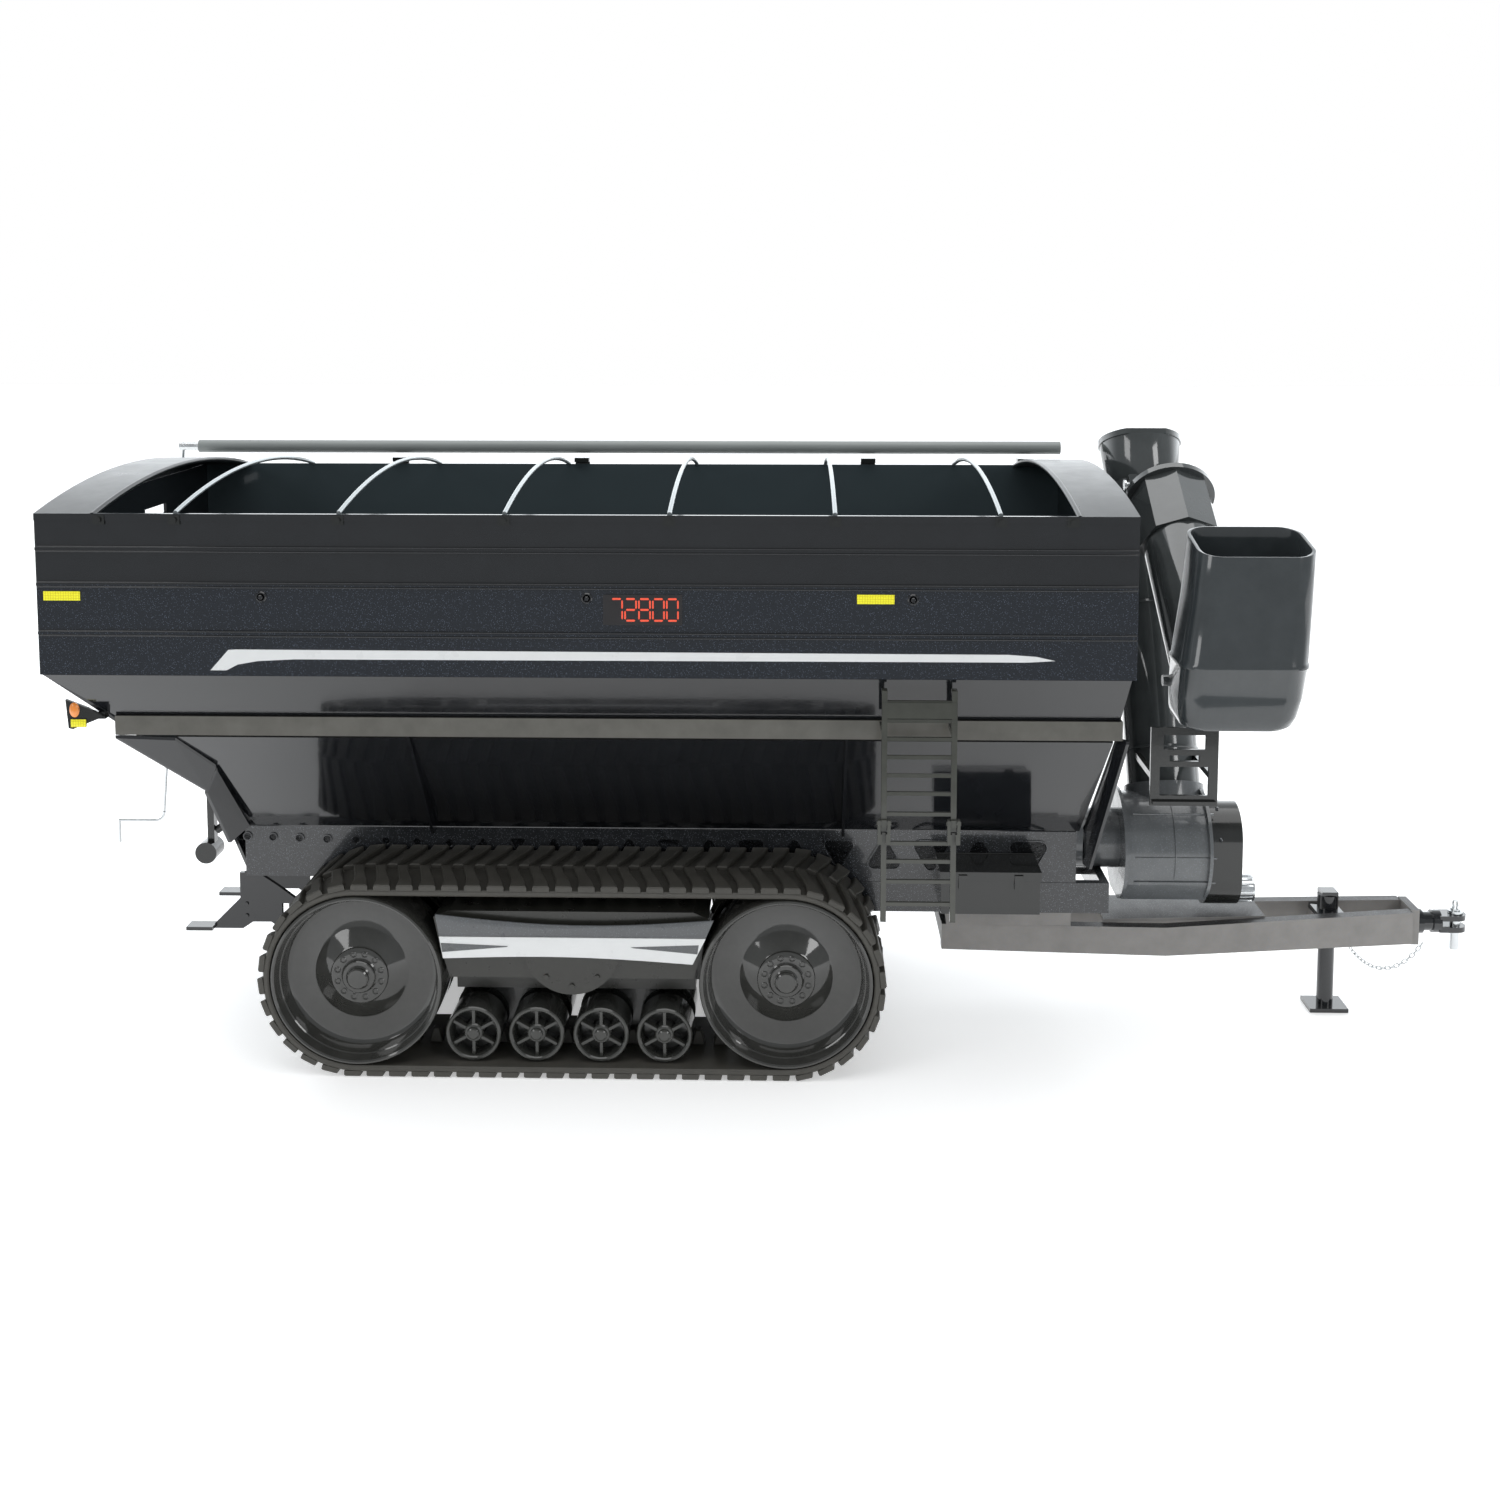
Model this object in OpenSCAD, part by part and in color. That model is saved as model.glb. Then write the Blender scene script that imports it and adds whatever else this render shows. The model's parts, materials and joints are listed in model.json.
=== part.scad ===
// Tracked single-auger grain cart, built as a 1:16 scale model.
// +X points to the hitch, +Y to the cart's left side, +Z up; the belts stand on Z = 0.

/* [Bin] */
// Length of the bin along its rim
bin_len = 475; // [470:1:480]
// Width of the bin over its side panels
bin_w = 215; // [214:1:217]
// Height of the rim above the ground
rim_z = 261; // [258:1:264]
// Height of the side panels' lower edge
side_z = 190; // [189:1:191]
// Thickness of the bin's sheets
sheet_t = 1.5; // [1.2:0.1:1.8]
// Rise of the tarp bows above the rim
bow_rise = 11; // [9:1:13]

/* [Tracks] */
// Distance between the two wheels of one track
wheel_base = 195; // [194:1:196]
// Radius of a wheel over its rim
wheel_r = 39.4; // [39.2:0.1:39.4]
// Width of a belt
belt_w = 57; // [56:1:58]
// Distance from the centre plane to a track's centre
track_y = 59.5; // [59.5:0.5:61]
// Number of lugs round a belt
lug_count = 64; // [56:4:68]
// Radius of a mid roller
roller_r = 12.7; // [12.4:0.1:12.7]

/* [Auger] */
// Outer radius of the auger tubes
tube_r = 18; // [17.5:0.5:18]
// Lean of the lower auger away from the vertical
auger_lean = 25; // [24:0.5:26]
// Length of the lower auger from the boot's centre to its top flange
lower_len = 212; // [208:1:214]

/* [Hitch] */
// Radius of the hitch pin
pin_r = 2.5; // [2:0.1:3]

/* [Hidden] */
$fn = 48;
gap = 0.2;
running = 0.05;

black = "#16191c";
flake = "#22282e";
steel = "#b9bdc0";
rubber = "#2c2b29";

bin_rear = -300;
half_w = bin_w / 2;
// Distance forward of the bin's rear end, as an X coordinate.
function station(d) = bin_rear + d;

sill_y = 89;
sill_z = 160;
foot_y = 31;
foot_z = 99;
knee_x = 57;
knee_z = 128;
bow_x = [61.2, 132.1, 203.7, 274.6, 345.5, 416.1];
cap_len = 25.4;
bow_r = (half_w * half_w + bow_rise * bow_rise) / (2 * bow_rise);
bow_half = asin(half_w / bow_r);
bead_z = [245.6, 230.1, 208.7];

trough_z = 86;
trough_r = 13;

hub_z = 45;
wheel_x = [130, 130 + wheel_base];
belt_r = wheel_r + 0.4;
carcass_t = 2.8;
lug_h = 2.4;
pivot_x = 228;
pivot_z = 61;
roller_x = [182, 211, 240.5, 269.5];
roller_z = 18.5;
bogie_z = 37;
plate_t = 4.4;

auger_x = station(514);
boot_z = 84;
boot_r = 25;
pto_z = 60.6;
hinge_along = 33;
hinge_out = 23;
fold = 150.5;
upper_len = 128;
spout_at = 121.4;

module both_sides() {
    children();
    mirror([0, 1, 0]) children();
}

// A flat sheet through coplanar points, thickened by t along the points' own normal.
module sheet(points, t = sheet_t) {
    n = len(points);
    raw = cross(points[1] - points[0], points[2] - points[0]);
    up = raw / norm(raw) * t;
    polyhedron(
        points = concat(points, [for (p = points) p + up]),
        faces = concat([[for (i = [0:n - 1]) i]], [[for (i = [n - 1:-1:0]) n + i]],
            [for (i = [0:n - 1]) [i, n + i, n + (i + 1) % n, (i + 1) % n]]));
}

// A bar with a square section between two points.
module strut(a, b, w) {
    hull() {
        translate(a) cube(w, center = true);
        translate(b) cube(w, center = true);
    }
}

module along_x(x, y, z) {
    translate([x, y, z]) rotate([0, 90, 0]) children();
}

module along_y(x, y, z) {
    translate([x, y, z]) rotate([-90, 0, 0]) children();
}

// Turns a sketch in its own XY plane into the YZ plane, its height running along +X.
module facing_x(x) {
    translate([x, 0, 0]) rotate([90, 0, 90]) children();
}

// ---- bin ----

module side_panels() {
    color(black) both_sides() {
        translate([bin_rear, -half_w, side_z + gap]) cube([bin_len, sheet_t, rim_z - side_z - gap]);
        translate([bin_rear, -half_w - 0.4, rim_z - 3]) cube([bin_len, 0.6, 3]);
        for (z = bead_z)
            translate([bin_rear, -half_w - 0.5, z - 0.6]) cube([bin_len, 0.7, 1.2]);
        for (d = [98, 239, 379])
            along_y(station(d), -half_w - 0.9, 225) cylinder(r = 1.6, h = 1);
    }
}

module hopper_sheets() {
    top_in = 0.4;
    color(black) both_sides() {
        sheet([[station(25), -sill_y + 1, 167], [station(1), -half_w + top_in, side_z],
            [station(bin_len - 2), -half_w + top_in, side_z], [station(bin_len - 3), -sill_y + 1, 167]]);
        sheet([[station(68), -foot_y, foot_z], [station(50), -sill_y + 5, sill_z - 3.4],
            [station(470), -sill_y + 5, sill_z - 3.4], [station(465), -foot_y, foot_z]]);
        sheet([[station(60), -trough_r - 1, trough_z + 0.2], [station(60), -28, foot_z - 1],
            [station(464), -28, foot_z - 1], [station(464), -trough_r - 1, trough_z + 0.2]], 1);
    }
    color(black) facing_x(station(60)) linear_extrude(404) difference() {
        translate([0, trough_z]) circle(trough_r + 1.5);
        translate([0, trough_z]) circle(trough_r);
        translate([-20, trough_z]) square([40, 20]);
    }
}

module end_walls() {
    color(black) {
        difference() {
            translate([bin_rear, -half_w + 1.7, side_z + 1.5]) cube([sheet_t, bin_w - 3.4, rim_z - side_z - 2]);
            translate([bin_rear - 1, 14, 242]) cube([4, 29, 4.6]);
        }
        sheet([[station(0.6), -half_w + 2.2, side_z - 0.6], [station(knee_x), -60, knee_z],
            [station(knee_x), 60, knee_z], [station(0.6), half_w - 2.2, side_z - 0.6]]);
        sheet([[station(knee_x), -60, knee_z - 1], [station(knee_x), -32, 93], [station(knee_x), -14, 72],
            [station(knee_x), 14, 72], [station(knee_x), 32, 93], [station(knee_x), 60, knee_z - 1]]);
        translate([station(bin_len) - sheet_t, -half_w + 1.7, side_z + 1.5])
            cube([sheet_t, bin_w - 3.4, rim_z - side_z - 2]);
        sheet([[station(473), half_w - 3, side_z - 1], [station(465.5), 31, 101],
            [station(465.5), -31, 101], [station(473), -half_w + 3, side_z - 1]]);
    }
}

module end_caps() {
    color(black) for (x = [bin_rear, station(bin_len - cap_len)])
        facing_x(x) translate([0, rim_z + bow_rise - bow_r]) rotate([0, 0, 90 - bow_half])
            rotate_extrude(angle = 2 * bow_half, $fn = 360) translate([bow_r - 1.2, 0]) square([1.2, cap_len]);
    color(black) for (x = [bin_rear, station(bin_len - 1.2)])
        facing_x(x) linear_extrude(1.2) intersection() {
            translate([0, rim_z + bow_rise - bow_r]) circle(bow_r - 1.1, $fn = 720);
            translate([-half_w + 6, rim_z - 0.4]) square([bin_w - 12, bow_rise + 5]);
        }
    color(black) for (x = [station(cap_len), station(bin_len - cap_len)])
        facing_x(x) translate([0, rim_z + bow_rise - bow_r]) rotate([0, 0, 90 - bow_half])
            rotate_extrude(angle = 2 * bow_half, $fn = 360) translate([bow_r - 0.8, 0]) circle(1.2);
}

module side_sills() {
    color(black) both_sides()
        translate([station(25), -sill_y - 1, sill_z - 1]) cube([448, 7, 8.6]);
}

// A thin plate spanned between corner points that need not lie in one plane.
module wing(points, t = 1.4) {
    hull() for (p = points) translate([station(p[0]), p[1], p[2]]) cube(t, center = true);
}

// Wing plates that close the hopper's corners, and the gussets between them.
module end_frames() {
    color(black) both_sides() {
        wing([[25.4, -88.6, 157.8], [55, -62, 126.4], [62, -69, 139], [49, -83.4, 155.6]]);
        wing([[55, -61, 124.6], [56, -34, 92], [66, -36, 101], [62, -67, 137]]);
        wing([[475.4, -88, 157.8], [472, -83, 157.8], [467.4, -32, 100], [467.4, -31.6, 84], [469, -39, 84]]);
        for (d = [155, 351])
            translate([station(d), 0, 0]) rotate([90, 0, 90])
                linear_extrude(1.4) polygon([[-sill_y + 1, sill_z - 1.2], [-sill_y + 5, sill_z - 4.2],
                    [-foot_y - 1, foot_z - 0.8], [-foot_y - 8, foot_z - 1]]);
    }
}

module chassis_frame() {
    color(flake) both_sides() {
        translate([station(62), 0, 0]) rotate([90, 0, 0]) translate([0, 0, 26.4])
            linear_extrude(3) polygon([[0, 73], [0, 98], [402, 98], [402, 73]]);
        translate([station(300), -29.4, 58]) cube([180, 4.4, 14.8]);
    }
    color(flake) {
        translate([station(62), -26.2, 73]) cube([5, 52.4, 8]);
        for (d = [210, 242]) translate([station(d), -29.4, 69.2]) cube([5, 58.8, 3.6]);
        translate([station(476), -25, 58]) cube([4, 50, 14.8]);
        translate([station(300), -25, 58]) cube([4, 50, 10]);
    }
}

// ---- rim fittings ----

module bow_arc(radius, half_angle) {
    translate([0, rim_z + bow_rise - bow_r]) rotate([0, 0, 90 - half_angle])
        rotate_extrude(angle = 2 * half_angle, $fn = 180) translate([radius, 0]) circle(1, $fn = 16);
}

module tarp_bows() {
    color(steel) for (d = bow_x)
        facing_x(station(d)) bow_arc(bow_r, bow_half - 0.15);
}

module rim_clips() {
    color(black) both_sides() for (d = concat([cap_len + 3], bow_x, [bin_len - cap_len - 3])) {
        translate([station(d) - 2.5, -half_w - 0.9, rim_z - 4.6]) cube([5, 0.9, 4]);
        along_y(station(d), -half_w - 2, rim_z - 2.6) cylinder(r = 1.3, h = 1.3);
    }
    color(black) for (d = [110, 211, 369, 455]) {
        translate([station(d) - 4, half_w - 4, rim_z + 1.2]) cube([8, 7, 2.4]);
        translate([station(d) - 4, half_w + 0.6, rim_z - 4]) cube([8, 1.6, 6]);
    }
}

// ---- markings ----

module side_stripes() {
    color("#e8e8e6") both_sides()
        translate([bin_rear, -half_w - 0.3, 0]) rotate([90, 0, 0]) mirror([0, 0, 1])
            linear_extrude(0.3) polygon([[75, 192.5], [82, 201.5], [428, 201.5], [442, 197.6], [105, 197.6],
                [88, 196.2]]);
}

module reflectors() {
    color("#f2df2a") both_sides() for (d = [3, 355])
        translate([station(d), -half_w - 0.35, 223]) cube([16, 0.35, 4]);
}

module weigh_display() {
    color("#0b0c0d") translate([station(246), -half_w - 0.5, 213.4]) cube([34, 0.5, 13.2]);
}

module rear_lamps() {
    color("#1a1b1c") both_sides() translate([0, -93, 0]) rotate([90, 0, 0]) linear_extrude(1.6)
        polygon([[station(6), 163], [station(5), 176], [station(14.5), 172.4], [station(22), 168.4],
            [station(8), 162.6]]);
    color("#1a1b1c") both_sides() translate([station(12), -93.2, 167]) cube([10, 4.4, 3]);
    color("#f08a1c") both_sides() along_y(station(9), -95.2, 171.6) cylinder(r = 2.2, h = 0.6);
    color("#f2df2a") both_sides() translate([station(7.2), -95, 164]) cube([7, 0.4, 3.4]);
}

// ---- ladder ----

ladder_x = [367, 397];
ladder_y = -half_w - 2.6;
ladder_split = 124;

module ladder_rail(z0, z1) {
    for (d = ladder_x)
        translate([station(d) - 1.2, ladder_y - 1.2, z0]) cube([2.4, 2.4, z1 - z0]);
}

// The lower part folds up in front of the upper one about this line.
fold_y = ladder_y - 1.6;
fold_z = ladder_split + 4;

module ladder_upper() {
    color(black) {
        ladder_rail(ladder_split + gap, 186);
        for (z = [131, 140, 148, 156, 164, 172, 180])
            translate([station(367), ladder_y - 0.8, z]) cube([30, 1.6, 1.6]);
        for (d = ladder_x) {
            translate([station(d) - 1.2, ladder_y, 184]) cube([2.4, 4.2, 2]);
            translate([station(d) - 1.2, ladder_y, 166]) cube([2.4, 17, 2]);
            translate([station(d) - 1.2, ladder_y - 2.4, ladder_split + 2.4]) cube([2.4, 2, 3.2]);
            along_x(station(d) - 3.2, fold_y, fold_z) cylinder(r = 0.8, h = 6.4, $fn = 24);
        }
        translate([station(366), ladder_y - 1.4, 174]) cube([32, 1.2, 7]);
    }
}

module ladder_lower() {
    color(black) difference() {
        union() {
            ladder_rail(84, ladder_split - gap);
            for (z = [91, 101, 110, 118]) translate([station(367), ladder_y - 0.8, z]) cube([30, 1.6, 1.6]);
            for (d = ladder_x, side = [-1, 1]) {
                translate([station(d) + 2.1 * side - 0.7, fold_y - 1.6, 119]) cube([1.4, 3.2, fold_z - 117.4]);
                translate([station(d) + 1.8 * side - 1, fold_y - 1.6, 119]) cube([2, 3.2, 4.6]);
            }
        }
        for (d = ladder_x) along_x(station(d) - 4, fold_y, fold_z) cylinder(r = 0.8 + running, h = 8, $fn = 24);
    }
}

// ---- toolbox ----

box_x = 397;
box_l = 46;

module toolbox_base() {
    color(black) difference() {
        translate([station(box_x), -56, 67]) cube([box_l, 26.4, 16]);
        translate([station(box_x) + 1.2, -54.8, 68.2]) cube([box_l - 2.4, 24, 16]);
    }
}

module toolbox_lid() {
    color(black) {
        translate([station(box_x) - 0.6, -56.8, 83.3]) cube([box_l + 1.2, 26.6, 4]);
        for (d = [8, 34]) translate([station(box_x) + d, -57.8, 79]) cube([4, 1, 7]);
        along_x(station(box_x) - 0.6, -30.2, 87.3) cylinder(r = 0.45, h = box_l + 1.2);
    }
}

// ---- tongue and hitch ----

jack_x = station(594);
hitch_z = 44.5;
plate_x = station(632);
clevis_x = station(657);

module tongue_side() {
    // Three slices of one beam: at the rear, at the knee and at the front plate.
    cuts = [[400, -26, 39.3, 51.8], [510, -17, 33.2, 47.4], [632, -9, 37.2, 53]];
    for (i = [0:1]) hull() for (j = [0:1]) {
        c = cuts[i + j];
        translate([station(c[0]) - (j == 0 ? 0 : 0.01), c[1] - 3, c[2]]) cube([0.01, 6, c[3] - c[2]]);
    }
}

module tongue() {
    color(flake) both_sides() tongue_side();
    color(flake) {
        hull() {
            translate([station(480), -17, 49]) cube([0.1, 34, 1.4]);
            translate([station(560), -11, 49]) cube([0.1, 22, 1.4]);
        }
        translate([station(400), -24, 42]) cube([6, 48, 9]);
        for (s = [-1, 1]) translate([station(402), s * 26 - 3, 51.4]) cube([60, 6, 6.4]);
    }
    color(black) difference() {
        translate([plate_x, -9.5, 36]) cube([4, 19, 17.5]);
        along_x(plate_x - 1, 0, hitch_z) cylinder(r = 3 + running, h = 6);
    }
    color(black) difference() {
        translate([jack_x - 7, -11, 40]) cube([14, 22, 8]);
        translate([jack_x, 0, 39]) cylinder(r = 5.2, h = 10);
    }
}

module jack_housing() {
    color(black) difference() {
        union() {
            translate([jack_x, 0, 38]) cylinder(r = 5.1, h = 20);
            translate([jack_x - 4, -4, 58]) cube([8, 8, 2]);
            translate([jack_x - 6.6, -9.6, 48.2]) cube([13.2, 19.2, 2]);
        }
        translate([jack_x, 0, 37]) cylinder(r = 4 + running, h = 20);
    }
}

module jack_leg() {
    color(black) {
        translate([jack_x, 0, 2]) cylinder(r = 4, h = 40);
        translate([jack_x - 9.5, -8, 0]) cube([19, 16, 2]);
    }
}

module hitch_clevis() {
    color(black) difference() {
        union() {
            along_x(plate_x - 5.2, 0, hitch_z) cylinder(r = 3, h = 18);
            along_x(plate_x - 5.2, 0, hitch_z) cylinder(r = 4.4, h = 1.1);
            along_x(plate_x + 4.1, 0, hitch_z) cylinder(r = 6, h = 4);
            along_x(plate_x + 8.1, 0, hitch_z) cylinder(r = 4.6, h = 5);
            along_x(plate_x + 13.1, 0, hitch_z) cylinder(r = 5.6, h = 4);
            for (z = [hitch_z + 1.6, hitch_z - 4.2]) {
                translate([plate_x + 16, -5, z]) cube([9, 10, 2.6]);
                translate([clevis_x, 0, z]) cylinder(r = 5, h = 2.6);
            }
        }
        translate([clevis_x, 0, hitch_z - 6]) cylinder(r = pin_r + running, h = 12);
    }
}

module hitch_pin() {
    color(steel) {
        translate([clevis_x, 0, hitch_z - 5]) cylinder(r = pin_r, h = 12);
        translate([clevis_x, 0, hitch_z - 14]) cylinder(r = pin_r - 0.2, h = 9.1);
        translate([clevis_x, 0, hitch_z + 4.4]) cylinder(r = 3.6, h = 1.4);
        along_x(clevis_x, 0, hitch_z + 8.4) rotate_extrude($fn = 32) translate([2.6, 0]) circle(0.6, $fn = 16);
    }
}

// The safety chain hangs as a catenary from the tongue to the clevis.
chain_low = [621, -7.5, 23];
chain_a = 17.2;
chain_pitch = 2.34;
chain_links = 20;
chain_turn = 9;

function asinh(x) = ln(x + sqrt(x * x + 1));
// A point of the chain at arc length s from its lowest point: distance along, height.
function hang(s) = [chain_a * asinh(s / chain_a), sqrt(chain_a * chain_a + s * s) - chain_a];

// A flat oval ring of 0.5 wire, 3.4 long and 2.2 wide.
module chain_link() {
    for (s = [-1, 1]) {
        translate([0.6 * s, 0, 0]) rotate([0, 0, s > 0 ? -90 : 90])
            rotate_extrude(angle = 180, $fn = 32) translate([0.85, 0]) circle(0.25, $fn = 16);
        along_x(-0.6, 0.85 * s, 0) cylinder(r = 0.25, h = 1.2, $fn = 16);
    }
}

module safety_chain() {
    color(steel) translate([station(chain_low[0]), chain_low[1], chain_low[2]]) rotate([0, 0, chain_turn])
        for (i = [0:chain_links - 1]) {
            s = (i - (chain_links - 1) / 2) * chain_pitch;
            p = hang(s);
            translate([p[0], 0, p[1]]) rotate([0, -atan(s / chain_a), 0])
                rotate([i % 2 == 0 ? 45 : -45, 0, 0]) chain_link();
        }
}

// ---- auger ----

// Places a shape on the lower auger's axis; its own +Z then runs up the tube.
module on_lower(s) {
    translate([auger_x, 0, boot_z]) rotate([-auger_lean, 0, 0]) translate([0, 0, s]) children();
}

// The upper tube as it stands when unfolded, brought to its folded place by the hinge.
module on_upper() {
    on_lower(lower_len) translate([0, -hinge_out, -hinge_along]) rotate([fold, 0, 0])
        translate([0, hinge_out, hinge_along]) children();
}

module boot_outline(shrink) {
    translate([0, boot_z]) circle(boot_r - shrink);
    polygon([[-boot_r + shrink, boot_z], [-22 + shrink, 69.6], [-14 + shrink / 2, 59.5 + shrink],
        [14 - shrink / 2, 59.5 + shrink], [22 - shrink, 69.6], [boot_r - shrink, boot_z]]);
}

module auger_boot() {
    color(flake) difference() {
        union() {
            facing_x(station(489)) linear_extrude(41) boot_outline(0);
            on_lower(10) cylinder(r = tube_r + 1.6, h = 17.4);
            facing_x(station(488)) linear_extrude(1.6) intersection() {
                translate([0, boot_z]) circle(27.5);
                translate([-30, 58]) square(60);
            }
            facing_x(station(528.6)) linear_extrude(1.6) intersection() {
                translate([0, boot_z]) circle(27.5);
                translate([-30, 58]) square(60);
            }
        }
        facing_x(station(490.6)) linear_extrude(37.8) boot_outline(1.6);
        on_lower(0) cylinder(r = tube_r - 1.4, h = 30);
        facing_x(station(487)) linear_extrude(5) translate([0, trough_z]) circle(trough_r);
        along_x(station(527), 0, trough_z) cylinder(r = 3 + running, h = 6);
    }
    color(flake) facing_x(station(465.4)) linear_extrude(23) difference() {
        translate([0, trough_z]) circle(trough_r + 1.6);
        translate([0, trough_z]) circle(trough_r);
    }
}

module cover_outline(shrink) {
    translate([0, 88]) circle(16.5 - shrink);
    translate([0, pto_z + 9.5]) circle(16.5 - shrink);
    translate([-16.5 + shrink, pto_z + 9.5]) square([33 - 2 * shrink, 78.5 - pto_z]);
}

module drive_cover() {
    color(black) difference() {
        facing_x(station(530.4)) linear_extrude(16.6) cover_outline(0);
        facing_x(station(529)) linear_extrude(15.6) cover_outline(1.6);
        along_x(station(540), 0, pto_z) cylinder(r = 2.8 + running, h = 10);
    }
}

module sprocket(teeth, pitch_r, width) {
    linear_extrude(width) {
        circle(pitch_r - 0.5);
        for (i = [0:teeth - 1]) rotate(i * 360 / teeth)
            polygon([[pitch_r - 0.8, -0.8], [pitch_r + 0.7, -0.25], [pitch_r + 0.7, 0.25], [pitch_r - 0.8, 0.8]]);
    }
}

module pto_shaft() {
    color(steel) {
        along_x(station(532), 0, pto_z) cylinder(r = 2.8, h = 16);
        along_x(station(547.4), 0, pto_z) cylinder(r = 6.2, h = 9);
        along_x(station(535), 0, pto_z) sprocket(8, 4, 3);
    }
}

// A helical ribbon round the shaft: rings of four points, joined by triangles.
module flighting(radius, pitch, length, core) {
    per_turn = 12;
    steps = round(length / pitch * per_turn);
    half_t = 0.5;
    ring = [[core, -half_t], [radius, -half_t], [radius, half_t], [core, half_t]];
    points = [for (i = [0:steps], q = ring)
        let (a = 360 * i / per_turn) [q[0] * cos(a), q[0] * sin(a), q[1] + i * pitch / per_turn]];
    sides = [for (i = [0:steps - 1], k = [0:3])
        let (a = 4 * i + k, b = 4 * i + (k + 1) % 4) each [[a, b + 4, a + 4], [a, b, b + 4]]];
    last = 4 * steps;
    polyhedron(points = points, faces = concat([[0, 2, 1], [0, 3, 2]], sides,
        [[last, last + 1, last + 2], [last, last + 2, last + 3]]));
}

module floor_auger() {
    color(steel) {
        along_x(station(59), 0, trough_z) cylinder(r = 3, h = 483);
        along_x(station(69), 0, trough_z) flighting(11.6, 24, 408, 2.6);
        along_x(station(535), 0, trough_z) sprocket(20, 10, 3);
    }
}

module lower_screw() {
    color(steel) on_lower(0) {
        translate([0, 0, 10]) cylinder(r = 3.2, h = lower_len - 12);
        translate([0, 0, 16]) flighting(tube_r - 2.6, 28, lower_len - 24, 2.8);
    }
}

module flange_outline(r) {
    difference() {
        circle(r);
        translate([-30, -r - 27.4]) square([60, 30]);
    }
}

module lower_tube() {
    color(black) on_lower(0) {
        difference() {
            union() {
                translate([0, 0, 27.6]) cylinder(r = tube_r, h = lower_len - 27.6);
                translate([0, 0, lower_len - 3]) linear_extrude(3) flange_outline(tube_r + 3.8);
                for (x = [-12, 8]) translate([x, -hinge_out - 3, lower_len - hinge_along - 7])
                    cube([4, hinge_out - tube_r + 9, 12]);
            }
            translate([0, 0, 27]) cylinder(r = tube_r - 1.4, h = lower_len);
            translate([-15, -hinge_out, lower_len - hinge_along]) rotate([0, 90, 0])
                cylinder(r = 1.6 + running, h = 30);
        }
        difference() {
            translate([0, 0, lower_len - 6]) cylinder(r = tube_r - 1.2, h = 1.6);
            for (a = [0:120:240]) rotate(a + 30) translate([10.5, -5, lower_len - 7]) cube([10, 10, 4]);
            translate([0, 0, lower_len - 7]) cylinder(r = 3.2 + running, h = 4);
            rotate(30) difference() {
                translate([0, 0, lower_len - 7]) cylinder(r = tube_r - 2.8, h = 4);
                translate([0, 0, lower_len - 8]) cylinder(r = 5, h = 6);
                for (a = [0:120:240]) rotate(a) translate([-18, -1.5, lower_len - 8]) cube([18, 3, 6]);
            }
        }
    }
}

module hinge_pin() {
    color(steel) on_lower(lower_len) translate([-13.4, -hinge_out, -hinge_along]) rotate([0, 90, 0]) {
        cylinder(r = 1.6, h = 26.8);
        translate([0, 0, -1]) cylinder(r = 2.8, h = 1);
        translate([0, 0, 26.8]) cylinder(r = 2.8, h = 1);
    }
}

module upper_tube() {
    color(black) on_upper() {
        difference() {
            union() {
                cylinder(r = tube_r, h = upper_len);
                translate([0, 0, 0.3]) linear_extrude(3) flange_outline(tube_r + 3.8);
                translate([0, 0, 3.3]) cylinder(r = tube_r + 2.4, h = 34, $fn = 8);
                translate([-7.8, -hinge_out - 3, -hinge_along - 3]) cube([15.6, 4.6, hinge_along + 16]);
                translate([-7.8, -hinge_out, 0.3]) cube([15.6, 6, 12.7]);
                translate([-tube_r - 5, 0, spout_at]) rotate([0, 90, 0])
                    cylinder(r = 2.5, h = 2 * tube_r + 21);
            }
            translate([0, 0, -1]) cylinder(r = tube_r - 1.4, h = upper_len + 2);
            translate([-15, -hinge_out, -hinge_along]) rotate([0, 90, 0])
                cylinder(r = 1.6 + running, h = 30);
        }
        difference() {
            translate([0, 0, 5]) cylinder(r = tube_r - 1.2, h = 1.6);
            translate([0, 0, 4]) cylinder(r = 3.2 + running, h = 4);
            difference() {
                translate([0, 0, 4]) cylinder(r = tube_r - 2.8, h = 4);
                translate([0, 0, 3]) cylinder(r = 5, h = 6);
                for (a = [0:120:240]) rotate(a) translate([-18, -1.5, 3]) cube([18, 3, 6]);
            }
        }
    }
}

module upper_screw() {
    color(steel) on_upper() {
        translate([0, 0, 2]) cylinder(r = 3.2, h = upper_len - 12);
        translate([0, 0, 10]) flighting(tube_r - 2.6, 28, upper_len - 24, 2.8);
    }
}

// One slice of the spout: centre, length, width, corner radius and tilt about X.
module spout_slice(c, l, w, r, tilt) {
    translate(c) rotate([tilt, 0, 0]) linear_extrude(0.02)
        for (x = [-1, 1], y = [-1, 1]) translate([x * (l / 2 - r), y * (w / 2 - r)]) circle(r, $fn = 40);
}

module spout_body(wall) {
    hull() {
        spout_slice([station(524), -100, 249.6], 50 - wall, 36 - wall, 16, 12.5);
        spout_slice([station(519.8), -98.8, 197], 54.4 - wall, 38.4 - wall, 8, 0);
    }
    hull() {
        spout_slice([station(519.8), -98.8, 197], 54.4 - wall, 38.4 - wall, 8, 0);
        spout_slice([station(517), -98.8, 170 + wall / 2], 48 - wall, 36 - wall, 8, 0);
    }
}

module spout() {
    color(black) difference() {
        spout_body(0);
        spout_body(3);
        translate([station(524), -100, 249.2]) rotate([12.5, 0, 0]) translate([-45, -40, 0]) cube([90, 80, 9]);
        on_upper() translate([-tube_r - 0.7, 0, spout_at]) rotate([0, 90, 0]) cylinder(r = 29, h = 2 * tube_r + 1.4);
        on_upper() translate([-40, 0, spout_at]) rotate([0, 90, 0]) cylinder(r = 2.5 + running, h = 80);
    }
}

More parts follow.
